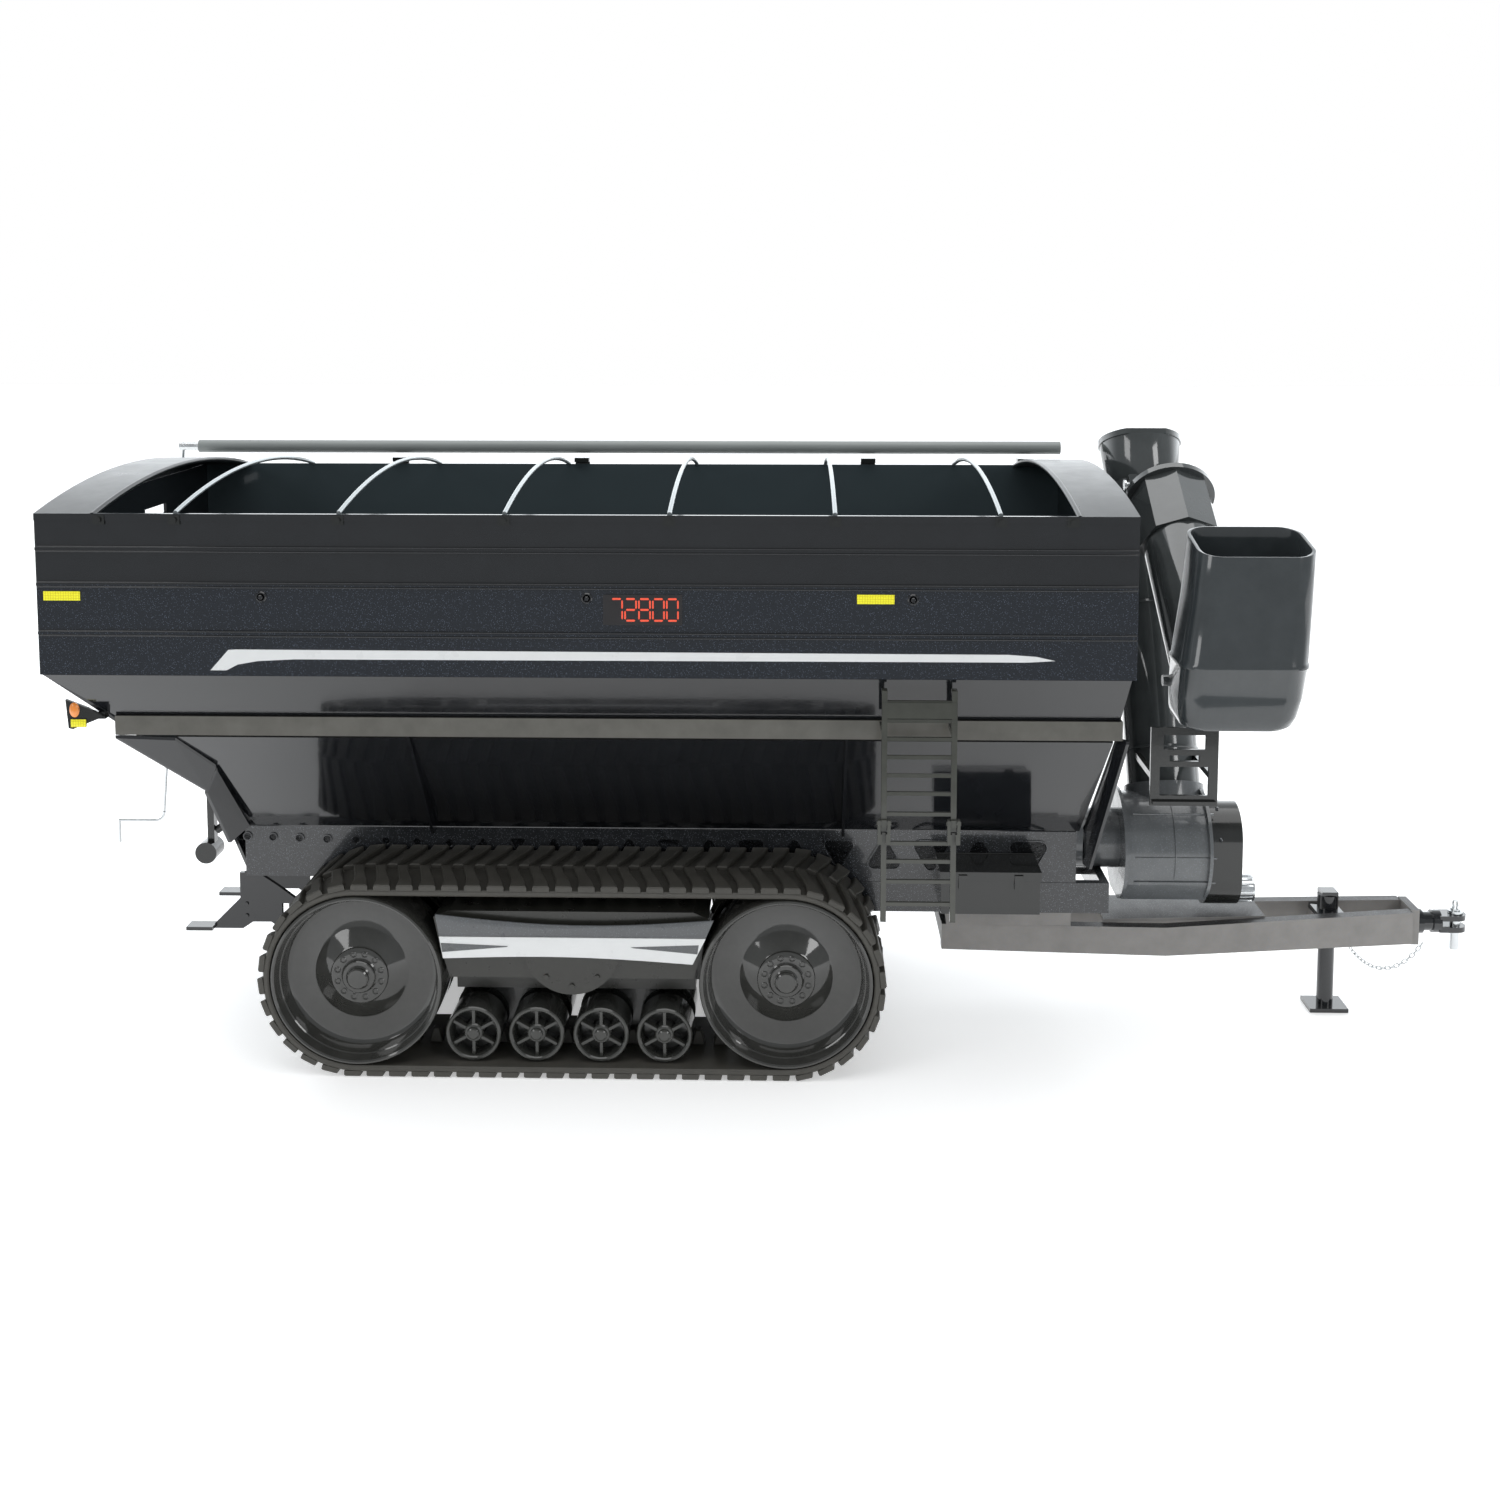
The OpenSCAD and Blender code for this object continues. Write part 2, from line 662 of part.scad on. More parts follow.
module auger_rest() {
    rest_x = auger_x - 16;
    color(black) {
        translate([rest_x, -30, 112]) rotate([90, 0, 0]) linear_extrude(1.8) difference() {
            square([32, 38]);
            translate([4.4, 5]) square([23.2, 14]);
            translate([9, 21.6]) square([14, 3]);
            translate([6, 27.4]) square([20, 7]);
        }
        for (x = [0.8, 28.8]) translate([rest_x + x, -30.6, 124]) cube([2.4, 37.4, 3]);
        translate([rest_x + 1, -34, 113]) cube([30, 3, 1.6]);
    }
}

module flow_gate() {
    color(steel) {
        translate([station(300), -24, foot_z - 0.6]) cube([160, 48, 1.2]);
        translate([station(300), -10, foot_z]) cube([1.2, 20, 5]);
    }
}

// ---- rear fittings ----

module rear_hitch() {
    color(black) both_sides() {
        translate([0, -22, 0]) rotate([90, 0, 0]) linear_extrude(2.4) difference() {
            polygon([[station(57), 72.8], [station(57), 60], [station(54), 57], [station(44), 47],
                [station(44), 44.6], [station(58), 44.6], [station(63), 48], [station(72), 48],
                [station(78), 43.6], [station(84), 46], [station(84), 60], [station(76), 66],
                [station(66), 72.8]]);
            translate([station(77.5), 48.4]) square([3.4, 9]);
        }
        translate([station(31), -28, 44.6]) cube([13, 8, 1.8]);
        for (z = [51, 57]) along_y(station(60), -25.2, z) cylinder(r = 1, h = 0.8);
    }
}

module rear_bracket() {
    color(black) {
        translate([station(34), -2.5, 76]) cube([3.4, 5, 52]);
        translate([station(37.4), -2, 124]) cube([14, 4, 3]);
        translate([station(37.4), -2, 100]) cube([19.4, 4, 3]);
        along_y(station(34), -6, 76) cylinder(r = 5.4, h = 12);
    }
    color(steel) translate([station(38), 0, 86]) rotate([0, 52, 0]) cylinder(r = 2, h = 20);
    color(black) along_y(station(55.6), -3.4, 98) cylinder(r = 2.6, h = 6.8);
}

// ---- tarp ----

roll_y = 111;
roll_z = rim_z + 9;

module tarp_roll() {
    color("#17191a") along_x(station(-4), roll_y, roll_z) cylinder(r = 3.5, h = 479);
}

module tarp_crank() {
    y = roll_y;
    foot_x = station(-31);
    out = 18;
    color("#dcdcda") along_x(station(-15), y, roll_z) cylinder(r = 2.4, h = 10.9);
    color(steel) {
        translate([foot_x, y, 60]) rotate([0, atan(out / (roll_z - 60)), 0])
            cylinder(r = 0.8, h = norm([out, roll_z - 60]));
        translate([foot_x, y, 60]) sphere(1);
        translate([foot_x - 5, y, 60]) rotate([90, 0, 0]) rotate([0, 0, -90])
            rotate_extrude(angle = 90) translate([5, 0]) circle(0.8, $fn = 24);
        along_x(station(-57), y, 55) cylinder(r = 0.8, h = 21);
        translate([station(-57), y, 55]) sphere(0.8);
        translate([station(-57), y, 42]) cylinder(r = 0.8, h = 13);
    }
}

// ---- tracks ----

module cross_axle() {
    color(flake) translate([station(pivot_x) - 20, -29.4, pivot_z - 9]) cube([40, 58.8, 17]);
    color(steel) along_y(station(pivot_x), -79, pivot_z) cylinder(r = 8, h = 158);
}

module stadium(r) {
    for (x = wheel_x) translate([station(x), hub_z]) circle(r, $fn = 96);
    translate([station(wheel_x[0]), hub_z - r]) square([wheel_base, 2 * r]);
}

// Walks once round the belt: position and heading at distance s along the pitch line.
function belt_at(s, r) =
    let (arc = PI * r)
    s < wheel_base ? [station(wheel_x[0]) + s, hub_z + r, 0]
    : s < wheel_base + arc ? let (a = (s - wheel_base) / r * 180 / PI)
        [station(wheel_x[1]) + r * sin(a), hub_z + r * cos(a), -a]
    : s < 2 * wheel_base + arc ? [station(wheel_x[1]) - (s - wheel_base - arc), hub_z - r, 180]
    : let (a = (s - 2 * wheel_base - arc) / r * 180 / PI)
        [station(wheel_x[0]) - r * sin(a), hub_z - r * cos(a), 180 - a];

module belt() {
    r = belt_r + carcass_t;
    lap = 2 * wheel_base + 2 * PI * r;
    color(rubber) translate([0, -track_y + belt_w / 2, 0]) rotate([90, 0, 0]) linear_extrude(belt_w)
        difference() {
            union() {
                stadium(r);
                for (i = [0:lug_count - 1]) {
                    p = belt_at(i * lap / lug_count, r);
                    translate([p[0], p[1]]) rotate(p[2]) translate([-3, -0.4]) square([6, lug_h + 0.4]);
                }
            }
            stadium(belt_r);
        }
}

module wheel_half() {
    // Section of one wheel: radius across, distance from the track's centre up.
    polygon([[5, 3.6], [14, 3.6], [14, 12], [30, 14], [35.4, 7], [wheel_r, 4], [wheel_r, belt_w / 2],
        [37.4, belt_w / 2], [36.2, 17], [24, 17], [12.7, 20.6], [12.7, 21.6], [7.5, 21.8], [7.5, 24],
        [5, 26], [0, 26], [0, 3.6]]);
}

module wheel(x) {
    color(black) along_y(station(x), -track_y, hub_z) {
        for (s = [0, 1]) mirror([0, 0, s]) difference() {
            rotate_extrude($fn = 96) wheel_half();
            for (i = [0:11]) rotate(30 * i) translate([10.4, 0, 21]) cylinder(r = 0.9, h = 2, $fn = 16);
        }
        translate([0, 0, -4]) cylinder(r = 5, h = 8);
    }
}

module roller_half() {
    polygon([[0, 3.6], [4, 3.6], [4, 8], [9, 8], [roller_r, 5], [roller_r, 23.1], [10.6, 23.1],
        [10, 14], [4.4, 14], [4.4, 22], [2.6, 23.8], [0, 23.8]]);
}

module roller(i) {
    color(black) along_y(station(roller_x[i]), -track_y, roller_z) {
        for (s = [0, 1]) mirror([0, 0, s]) {
            rotate_extrude($fn = 64) roller_half();
            for (a = [0:60:300]) rotate(a) translate([4, -0.7, 13]) cube([6.6, 1.4, 8.6]);
        }
        translate([0, 0, -4]) cylinder(r = 2.5, h = 8);
    }
}

module bogie(i) {
    a = station(roller_x[i]);
    b = station(roller_x[i + 1]);
    mid = (a + b) / 2;
    color(black) translate([0, -track_y + plate_t / 2, 0]) rotate([90, 0, 0]) difference() {
        linear_extrude(plate_t) {
            translate([a, roller_z]) circle(5);
            translate([b, roller_z]) circle(5);
            translate([mid, bogie_z]) circle(4.6);
            polygon([[a - 3, roller_z - 4], [b + 3, roller_z - 4], [b + 4, roller_z + 3], [mid + 4, bogie_z + 2],
                [mid - 4, bogie_z + 2], [a - 4, roller_z + 3]]);
        }
        for (x = [a, b]) translate([x, roller_z, -1]) cylinder(r = 2.5 + running, h = plate_t + 2);
        translate([mid, bogie_z, -1]) cylinder(r = 2.5 + running, h = plate_t + 2);
    }
}

module track_frame() {
    slot = plate_t + 1.2;
    inner = 34;
    outer = 84;
    hub_arm = 6.4;
    color(black) difference() {
        union() {
            translate([0, -inner, 0]) rotate([90, 0, 0]) linear_extrude(outer - inner)
                polygon([[station(172), 46], [station(283), 46], [station(287), 60], [station(290), 74],
                    [station(283), 77], [station(172), 77], [station(165), 74], [station(168), 60]]);
            translate([station(172), -track_y - 7.5, 34]) cube([111, 15, 13]);
            translate([station(wheel_x[0]), -track_y - hub_arm / 2, hub_z - 8])
                cube([wheel_base, hub_arm, 16]);
            for (x = wheel_x) along_y(station(x), -track_y - hub_arm / 2, hub_z)
                cylinder(r = 9, h = hub_arm);
            intersection() {
                along_y(station(pivot_x), -outer - 2, pivot_z) cylinder(r = 22, h = 3);
                translate([station(pivot_x) - 30, -outer - 3, 30]) cube([60, 6, 40]);
            }
            for (a = [190:40:350])
                along_y(station(pivot_x) + 18 * cos(a), -outer - 3, pivot_z + 18 * sin(a))
                    cylinder(r = 1.2, h = 2);
        }
        for (x = wheel_x) along_y(station(x), -track_y - 10, hub_z) cylinder(r = 5 + running, h = 20);
        along_y(station(pivot_x), -outer + 4, pivot_z) cylinder(r = 8 + running, h = 80);
        for (i = [0, 2])
            translate([station(roller_x[i]) - 8, -track_y - slot / 2, 30])
                cube([roller_x[i + 1] - roller_x[i] + 16, slot, 14.4]);
    }
    color(steel) for (i = [0, 2])
        along_y(station((roller_x[i] + roller_x[i + 1]) / 2), -track_y - slot / 2 - 1, bogie_z)
            cylinder(r = 2.5, h = slot + 2);
}

module on_left() {
    mirror([0, 1, 0]) children();
}

side_panels();
hopper_sheets();
end_walls();
end_caps();
side_sills();
end_frames();
chassis_frame();
tarp_bows();
rim_clips();
side_stripes();
reflectors();
weigh_display();
rear_lamps();
ladder_upper();
ladder_lower();
toolbox_base();
toolbox_lid();
tongue();
jack_housing();
jack_leg();
hitch_clevis();
hitch_pin();
safety_chain();
auger_boot();
drive_cover();
pto_shaft();
floor_auger();
lower_screw();
lower_tube();
upper_tube();
upper_screw();
spout();
hinge_pin();
auger_rest();
flow_gate();
rear_hitch();
rear_bracket();
tarp_roll();
tarp_crank();
cross_axle();
track_frame();  // track_frame_right
on_left() track_frame();  // track_frame_left
belt();  // belt_right
on_left() belt();  // belt_left
wheel(wheel_x[0]);  // wheel_rear_right
wheel(wheel_x[1]);  // wheel_front_right
on_left() wheel(wheel_x[0]);  // wheel_rear_left
on_left() wheel(wheel_x[1]);  // wheel_front_left
bogie(0);  // bogie_rear_right
bogie(2);  // bogie_front_right
on_left() bogie(0);  // bogie_rear_left
on_left() bogie(2);  // bogie_front_left
roller(0);  // roller_1_right
roller(1);  // roller_2_right
roller(2);  // roller_3_right
roller(3);  // roller_4_right
on_left() roller(0);  // roller_1_left
on_left() roller(1);  // roller_2_left
on_left() roller(2);  // roller_3_left
on_left() roller(3);  // roller_4_left
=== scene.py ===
"""The tracked grain cart's looks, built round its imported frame."""
import json
import math

import bpy
from mathutils import Matrix, Vector


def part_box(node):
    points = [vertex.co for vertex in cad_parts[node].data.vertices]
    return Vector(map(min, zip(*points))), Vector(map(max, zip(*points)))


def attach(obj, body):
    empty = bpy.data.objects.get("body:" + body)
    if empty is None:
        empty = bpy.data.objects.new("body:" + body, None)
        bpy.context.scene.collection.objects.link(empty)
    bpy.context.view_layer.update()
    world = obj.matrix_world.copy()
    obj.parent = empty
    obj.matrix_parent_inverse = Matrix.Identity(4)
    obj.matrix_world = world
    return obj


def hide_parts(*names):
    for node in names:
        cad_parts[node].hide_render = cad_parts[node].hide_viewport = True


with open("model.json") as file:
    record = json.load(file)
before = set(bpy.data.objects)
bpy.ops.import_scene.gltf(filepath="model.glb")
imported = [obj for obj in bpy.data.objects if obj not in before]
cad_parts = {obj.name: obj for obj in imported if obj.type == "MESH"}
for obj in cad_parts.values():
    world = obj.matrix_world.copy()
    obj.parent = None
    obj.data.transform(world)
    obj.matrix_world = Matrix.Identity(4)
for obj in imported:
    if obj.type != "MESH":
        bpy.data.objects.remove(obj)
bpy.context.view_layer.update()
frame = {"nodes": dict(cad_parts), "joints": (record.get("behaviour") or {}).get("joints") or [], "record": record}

MM = 0.001


def centre(node):
    """The middle of a CAD node's box, in millimetres."""
    low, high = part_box(node)
    return (Vector(low) + Vector(high)) / 2 / MM


BIN_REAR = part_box("side_panels")[0][0] / MM
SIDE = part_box("side_stripes")[1][1] / MM - 0.3
SIDES = {"right": -1, "left": 1}


def station(d):
    """Millimetres forward of the bin's rear end, as an X coordinate."""
    return BIN_REAR + d


# ---- camera ----

CAMERA_AT = (0.0268, -0.8238, 0.3569)
LOOKS_DOWN, LOOKS_LEFT = 5.48, 1.41
LENS, SENSOR, SHIFT = 40.62, 36, -0.1985


def place_camera():
    """The right side, seen from a little above, with the lens shifted down."""
    data = bpy.data.cameras.new("camera")
    camera = bpy.data.objects.new("camera", data)
    bpy.context.scene.collection.objects.link(camera)
    camera.location = CAMERA_AT
    camera.rotation_euler = (math.radians(90 - LOOKS_DOWN), 0, math.radians(LOOKS_LEFT))
    data.lens, data.sensor_width = LENS, SENSOR
    data.shift_y = SHIFT
    data.clip_start, data.clip_end = 0.01, 50
    bpy.context.scene.camera = camera


place_camera()


# ---- working by hand ----

def clear():
    """Back to object mode with nothing selected."""
    if bpy.context.mode != "OBJECT":
        bpy.ops.object.mode_set(mode="OBJECT")
    bpy.ops.object.select_all(action="DESELECT")


def take(obj):
    """Selects obj alone and makes it active."""
    clear()
    obj.select_set(True)
    bpy.context.view_layer.objects.active = obj
    return obj


def named(obj, name):
    obj.name = obj.data.name = name
    return obj


def pick(obj, test):
    """Edit mode, with the faces selected whose centre (mm) and normal pass the test."""
    take(obj)
    bpy.ops.object.mode_set(mode="EDIT")
    bpy.ops.mesh.select_mode(type="FACE")
    bpy.ops.mesh.select_all(action="DESELECT")
    bpy.ops.object.mode_set(mode="OBJECT")
    for face in obj.data.polygons:
        face.select = bool(test(face.center / MM, face.normal))
    bpy.ops.object.mode_set(mode="EDIT")


def use(obj, kind, **values):
    """Adds a modifier and applies it."""
    take(obj)
    mod = obj.modifiers.new(kind.lower(), kind)
    for key, value in values.items():
        setattr(mod, key, value)
    bpy.ops.object.modifier_apply(modifier=mod.name)
    return obj


def eased(obj, width, segments=2, angle=32):
    """Bevels every edge sharper than angle."""
    return use(obj, "BEVEL", width=width * MM, segments=segments, limit_method="ANGLE",
               angle_limit=math.radians(angle))


def drawn(name, points, closed=True):
    """Edges through points (mm), drawn by extruding one vertex; stays in edit mode."""
    clear()
    bpy.ops.mesh.primitive_plane_add(size=MM)
    obj = named(bpy.context.object, name)
    bpy.ops.object.mode_set(mode="EDIT")
    bpy.ops.mesh.select_mode(type="VERT")
    bpy.ops.mesh.merge(type="CENTER")
    here = Vector(points[0]) * MM
    bpy.ops.transform.translate(value=here)
    for point in list(points[1:]) + ([points[0]] if closed else []):
        step = Vector(point) * MM - here
        bpy.ops.mesh.extrude_region_move(TRANSFORM_OT_translate={"value": step})
        here += step
    bpy.ops.mesh.select_all(action="SELECT")
    if closed:
        bpy.ops.mesh.remove_doubles(threshold=1e-6)
    return obj


def sewn(obj):
    """Merges doubles, points the faces outwards and leaves edit mode."""
    bpy.ops.mesh.select_all(action="SELECT")
    bpy.ops.mesh.remove_doubles(threshold=1e-6)
    bpy.ops.mesh.normals_make_consistent(inside=False)
    bpy.ops.object.mode_set(mode="OBJECT")
    return obj


def turned(name, profile, at, axis="Y", steps=64, closed=False):
    """A lathe shape. profile is (radius, distance along the axis), in mm from at."""
    line = {"X": lambda r, h: (h, r, 0), "Y": lambda r, h: (r, h, 0),
            "Z": lambda r, h: (r, 0, h)}[axis]
    obj = drawn(name, [line(r, h) for r, h in profile], closed)
    bpy.ops.mesh.spin(steps=steps, angle=2 * math.pi, center=(0, 0, 0),
                      axis=[float(axis == k) for k in "XYZ"])
    sewn(obj)
    obj.data.transform(Matrix.Translation(Vector(at) * MM))
    return obj


def plate(name, outline, depth):
    """A flat plate: an outline of points, pushed along the vector depth."""
    obj = drawn(name, outline)
    bpy.ops.mesh.edge_face_add()
    bpy.ops.mesh.extrude_region_move(TRANSFORM_OT_translate={"value": Vector(depth) * MM})
    return sewn(obj)


def block(name, low, high, ease=0.3):
    """A bevelled block between two corners."""
    clear()
    low, high = Vector(low) * MM, Vector(high) * MM
    bpy.ops.mesh.primitive_cube_add(size=1, location=(low + high) / 2, scale=high - low)
    obj = named(bpy.context.object, name)
    bpy.ops.object.transform_apply(location=True, rotation=True, scale=True)
    return eased(obj, ease)


def joined(parts, name):
    """Several objects made into one."""
    clear()
    for part in parts:
        part.select_set(True)
    bpy.context.view_layer.objects.active = parts[0]
    if len(parts) > 1:
        bpy.ops.object.join()
    return named(parts[0], name)


def copied(obj, moves, name):
    """One copy of obj for each matrix, joined; obj itself goes."""
    parts = []
    for move in moves:
        twin = obj.copy()
        twin.data = obj.data.copy()
        twin.data.transform(move)
        if move.determinant() < 0:
            twin.data.flip_normals()
        bpy.context.scene.collection.objects.link(twin)
        parts.append(twin)
    bpy.data.objects.remove(obj)
    return joined(parts, name)


def shift(x, y, z):
    return Matrix.Translation(Vector((x, y, z)) * MM)


def turn(degrees, axis):
    return Matrix.Rotation(math.radians(degrees), 4, axis)


ACROSS = Matrix.Scale(-1, 4, (0, 1, 0))
STAY = Matrix.Identity(4)
BOTH = [STAY, ACROSS]


# ---- finishes ----

def new_group(name, inputs, outputs):
    """An empty shader group with its sockets, and its two end nodes."""
    group = bpy.data.node_groups.new(name, "ShaderNodeTree")
    for label, kind, value in inputs:
        socket = group.interface.new_socket(label, in_out="INPUT", socket_type=kind)
        if value is not None:
            socket.default_value = value
    for label, kind in outputs:
        group.interface.new_socket(label, in_out="OUTPUT", socket_type=kind)
    return group, group.nodes.new("NodeGroupInput"), group.nodes.new("NodeGroupOutput")


def node(tree, kind, links=None, **values):
    """A node with its settings; links is {input: output socket or constant}."""
    made = tree.nodes.new("ShaderNode" + kind)
    for key, value in values.items():
        setattr(made, key, value)
    for key, source in (links or {}).items():
        if isinstance(source, bpy.types.NodeSocket):
            tree.links.new(source, made.inputs[key])
        else:
            made.inputs[key].default_value = source
    return made


def maths(tree, operation, *sources, clamp=False):
    return node(tree, "Math", dict(enumerate(sources)), operation=operation,
                use_clamp=clamp).outputs[0]


FLOAT, VECTOR = "NodeSocketFloat", "NodeSocketVector"


def make_grain():
    """Cloudy shade and fine height, for a moulded or sprayed surface."""
    g, start, end = new_group("surface_grain", [("Vector", VECTOR, None), ("Scale", FLOAT, 100),
                                                ("Detail", FLOAT, 3)],
                              [("Shade", FLOAT), ("Height", FLOAT)])
    cloud = node(g, "TexNoise", {"Vector": start.outputs[0], "Scale": start.outputs[1],
                                 "Detail": start.outputs[2], "Roughness": 0.6})
    fine = node(g, "TexNoise", {"Vector": start.outputs[0], "Detail": 2.0,
                                "Scale": maths(g, "MULTIPLY", start.outputs[1], 7.0)})
    both = maths(g, "ADD", cloud.outputs[0], maths(g, "MULTIPLY", fine.outputs[0], 0.5))
    g.links.new(cloud.outputs[0], end.inputs[0])
    g.links.new(both, end.inputs[1])
    return g


def make_flake():
    """Bright flecks in the lacquer: a mask of cells picked at random."""
    g, start, end = new_group("metal_flake", [("Vector", VECTOR, None), ("Scale", FLOAT, 2500),
                                              ("Share", FLOAT, 0.1)], [("Mask", FLOAT)])
    cells = node(g, "TexVoronoi", {"Vector": start.outputs[0], "Scale": start.outputs[1]})
    chance = node(g, "SeparateColor", {0: cells.outputs["Color"]}).outputs[0]
    mask = maths(g, "LESS_THAN", chance, start.outputs[2])
    dot = maths(g, "LESS_THAN", cells.outputs["Distance"], 0.45)
    g.links.new(maths(g, "MULTIPLY", mask, dot), end.inputs[0])
    return g


def make_dust():
    """Fine dust that settles on what faces up."""
    g, start, end = new_group("settled_dust", [("Vector", VECTOR, None), ("Scale", FLOAT, 60),
                                               ("Amount", FLOAT, 0.1)], [("Mask", FLOAT)])
    normal = node(g, "NewGeometry").outputs["Normal"]
    up = node(g, "SeparateXYZ", {0: normal}).outputs[2]
    lies = node(g, "MapRange", {0: up, 1: 0.3, 2: 1.0, 3: 0.0, 4: 1.0}).outputs[0]
    cloud = node(g, "TexNoise", {"Vector": start.outputs[0], "Scale": start.outputs[1], "Detail": 6.0})
    patch = node(g, "MapRange", {0: cloud.outputs[0], 1: 0.35, 2: 0.75, 3: 0.15, 4: 1.0}).outputs[0]
    amount = maths(g, "MULTIPLY", maths(g, "MULTIPLY", lies, patch), start.outputs[2], clamp=True)
    g.links.new(amount, end.inputs[0])
    return g


def make_wear():
    """Rubbed patches, for where a surface is handled or rolls."""
    g, start, end = new_group("rubbed_patches", [("Vector", VECTOR, None), ("Scale", FLOAT, 200),
                                                 ("Share", FLOAT, 0.4)], [("Mask", FLOAT)])
    big = node(g, "TexNoise", {"Vector": start.outputs[0], "Scale": start.outputs[1], "Detail": 8.0,
                               "Roughness": 0.7})
    edge = maths(g, "SUBTRACT", 1.0, start.outputs[2])
    mask = node(g, "MapRange", {0: big.outputs[0], 1: edge, 2: maths(g, "ADD", edge, 0.12), 3: 0.0,
                                4: 1.0}).outputs[0]
    g.links.new(mask, end.inputs[0])
    return g


GRAIN, FLAKE, DUST, WEAR = make_grain(), make_flake(), make_dust(), make_wear()
DUST_TONE = (0.42, 0.40, 0.36, 1)
FLECK_SCALE = 3400.0


def group_node(tree, group, **values):
    """A group placed in a tree; each value is a socket or a constant."""
    made = tree.nodes.new("ShaderNodeGroup")
    made.node_tree = group
    for key, source in values.items():
        if isinstance(source, bpy.types.NodeSocket):
            tree.links.new(source, made.inputs[key])
        else:
            made.inputs[key].default_value = source
    return made


def blend_colour(tree, factor, a, b):
    """Colour a turned to colour b by the factor."""
    made = node(tree, "Mix", {0: factor}, data_type="RGBA")
    for key, source in ((6, a), (7, b)):
        if isinstance(source, bpy.types.NodeSocket):
            tree.links.new(source, made.inputs[key])
        else:
            made.inputs[key].default_value = (*source[:3], 1)
    return made.outputs[2]


def finish(name, colour, rough, vary=0.25, spread=0.06, scale=90, bump=0.02, dust=0.05,
           flake=0.0, metallic=0.0, coat=0.0, coat_rough=0.04, paint=None, rub=0.0, rub_tone=None,
           glow=None, stretch=None):
    """A finish with its own variation. paint(tree, place, colour) may add a pattern, painted shade or a painted
    reflection.
    """
    mat = bpy.data.materials.new(name)
    mat.use_nodes = True
    tree = mat.node_tree
    shader = tree.nodes["Principled BSDF"]
    place = node(tree, "TexCoord").outputs["Object"]
    if stretch:
        place = node(tree, "Mapping", {"Vector": place, "Scale": stretch}).outputs[0]
    grain = group_node(tree, GRAIN, Vector=place, Scale=float(scale))
    dark = [c * (1 - vary) for c in colour]
    light = [min(1, c * (1 + vary)) for c in colour]
    tone = blend_colour(tree, grain.outputs["Shade"], dark, light)
    if paint:
        tone = paint(tree, place, tone)
    roughness = node(tree, "MapRange", {0: grain.outputs["Shade"], 1: 0.2, 2: 0.8,
                                        3: max(0.02, rough - spread), 4: rough + spread}).outputs[0]
    if flake:
        flecks = group_node(tree, FLAKE, Vector=place, Scale=FLECK_SCALE, Share=flake).outputs[0]
        tone = blend_colour(tree, flecks, tone, (0.20, 0.22, 0.25))
    if rub:
        patches = group_node(tree, WEAR, Vector=place, Scale=260.0, Share=rub).outputs[0]
        tone = blend_colour(tree, patches, tone, rub_tone)
    settled = group_node(tree, DUST, Vector=place, Scale=70.0, Amount=dust).outputs[0]
    tone = blend_colour(tree, settled, tone, DUST_TONE)
    tree.links.new(tone, shader.inputs["Base Color"])
    roughness = maths(tree, "ADD", roughness, maths(tree, "MULTIPLY", settled, 0.5), clamp=True)
    tree.links.new(roughness, shader.inputs["Roughness"])
    shader.inputs["Metallic"].default_value = metallic
    shader.inputs["Coat Weight"].default_value = coat
    shader.inputs["Coat Roughness"].default_value = coat_rough
    # glow is painted light: an emission on parts that are no lamps.
    if glow:
        shader.inputs["Emission Color"].default_value = (*glow[0], 1)
        shader.inputs["Emission Strength"].default_value = glow[1]
    ripple = node(tree, "Bump", {"Height": grain.outputs["Height"], "Strength": 1.0,
                                 "Distance": bump * MM})
    tree.links.new(ripple.outputs[0], shader.inputs["Normal"])
    return mat


def height_band(low, high, edge=0.2):
    """A mask that is 1 between two heights (mm)."""
    def mask(tree, place):
        z = maths(tree, "MULTIPLY", node(tree, "SeparateXYZ", {0: place}).outputs[2], 1000.0)
        above = node(tree, "MapRange", {0: z, 1: low - edge, 2: low + edge}).outputs[0]
        below = node(tree, "MapRange", {0: z, 1: high + edge, 2: high - edge}).outputs[0]
        return maths(tree, "MULTIPLY", above, below)
    return mask


def flaked_band_and_painted_reflection(tree, place, tone):
    """The side panels' lower field is sprayed with a flake lacquer; faces set in from the outer skin get a painted
    reflection.
    """
    band = height_band(190, 230.1)(tree, place)
    flecks = group_node(tree, FLAKE, Vector=place, Scale=FLECK_SCALE, Share=0.09).outputs[0]
    # Faces set in from the outer skin get a lighter bluish tone: a painted reflection on the gloss black.
    width = node(tree, "SeparateXYZ", {0: place}).outputs[1]
    inside = maths(tree, "LESS_THAN", maths(tree, "ABSOLUTE", width), (SIDE - 0.5) * MM)
    tone = blend_colour(tree, inside, tone, (0.050, 0.066, 0.073))
    band = maths(tree, "MULTIPLY", band, maths(tree, "SUBTRACT", 1.0, inside))
    deep = blend_colour(tree, band, tone, (0.007, 0.010, 0.016))
    return blend_colour(tree, maths(tree, "MULTIPLY", band, flecks), deep, (0.10, 0.12, 0.16))


def dark_on_top(tree, place, tone):
    """Painted shade: what faces up is kept dark, so that it doesn't read as white under a bright sky, while the
    sides keep the lighter tone.
    """
    up = node(tree, "SeparateXYZ", {0: node(tree, "NewGeometry").outputs["Normal"]}).outputs[2]
    lies = node(tree, "MapRange", {0: up, 1: 0.5, 2: 0.9}).outputs[0]
    return blend_colour(tree, lies, tone, (0.016, 0.016, 0.017))


def honeycomb(tree, place, tone):
    """The cell pattern of reflecting film."""
    cells = node(tree, "TexVoronoi", {"Vector": place, "Scale": 900.0, "Randomness": 0.15},
                 feature="DISTANCE_TO_EDGE")
    rim = maths(tree, "LESS_THAN", cells.outputs[0], 0.09)
    return blend_colour(tree, rim, tone, (0.62, 0.52, 0.01))


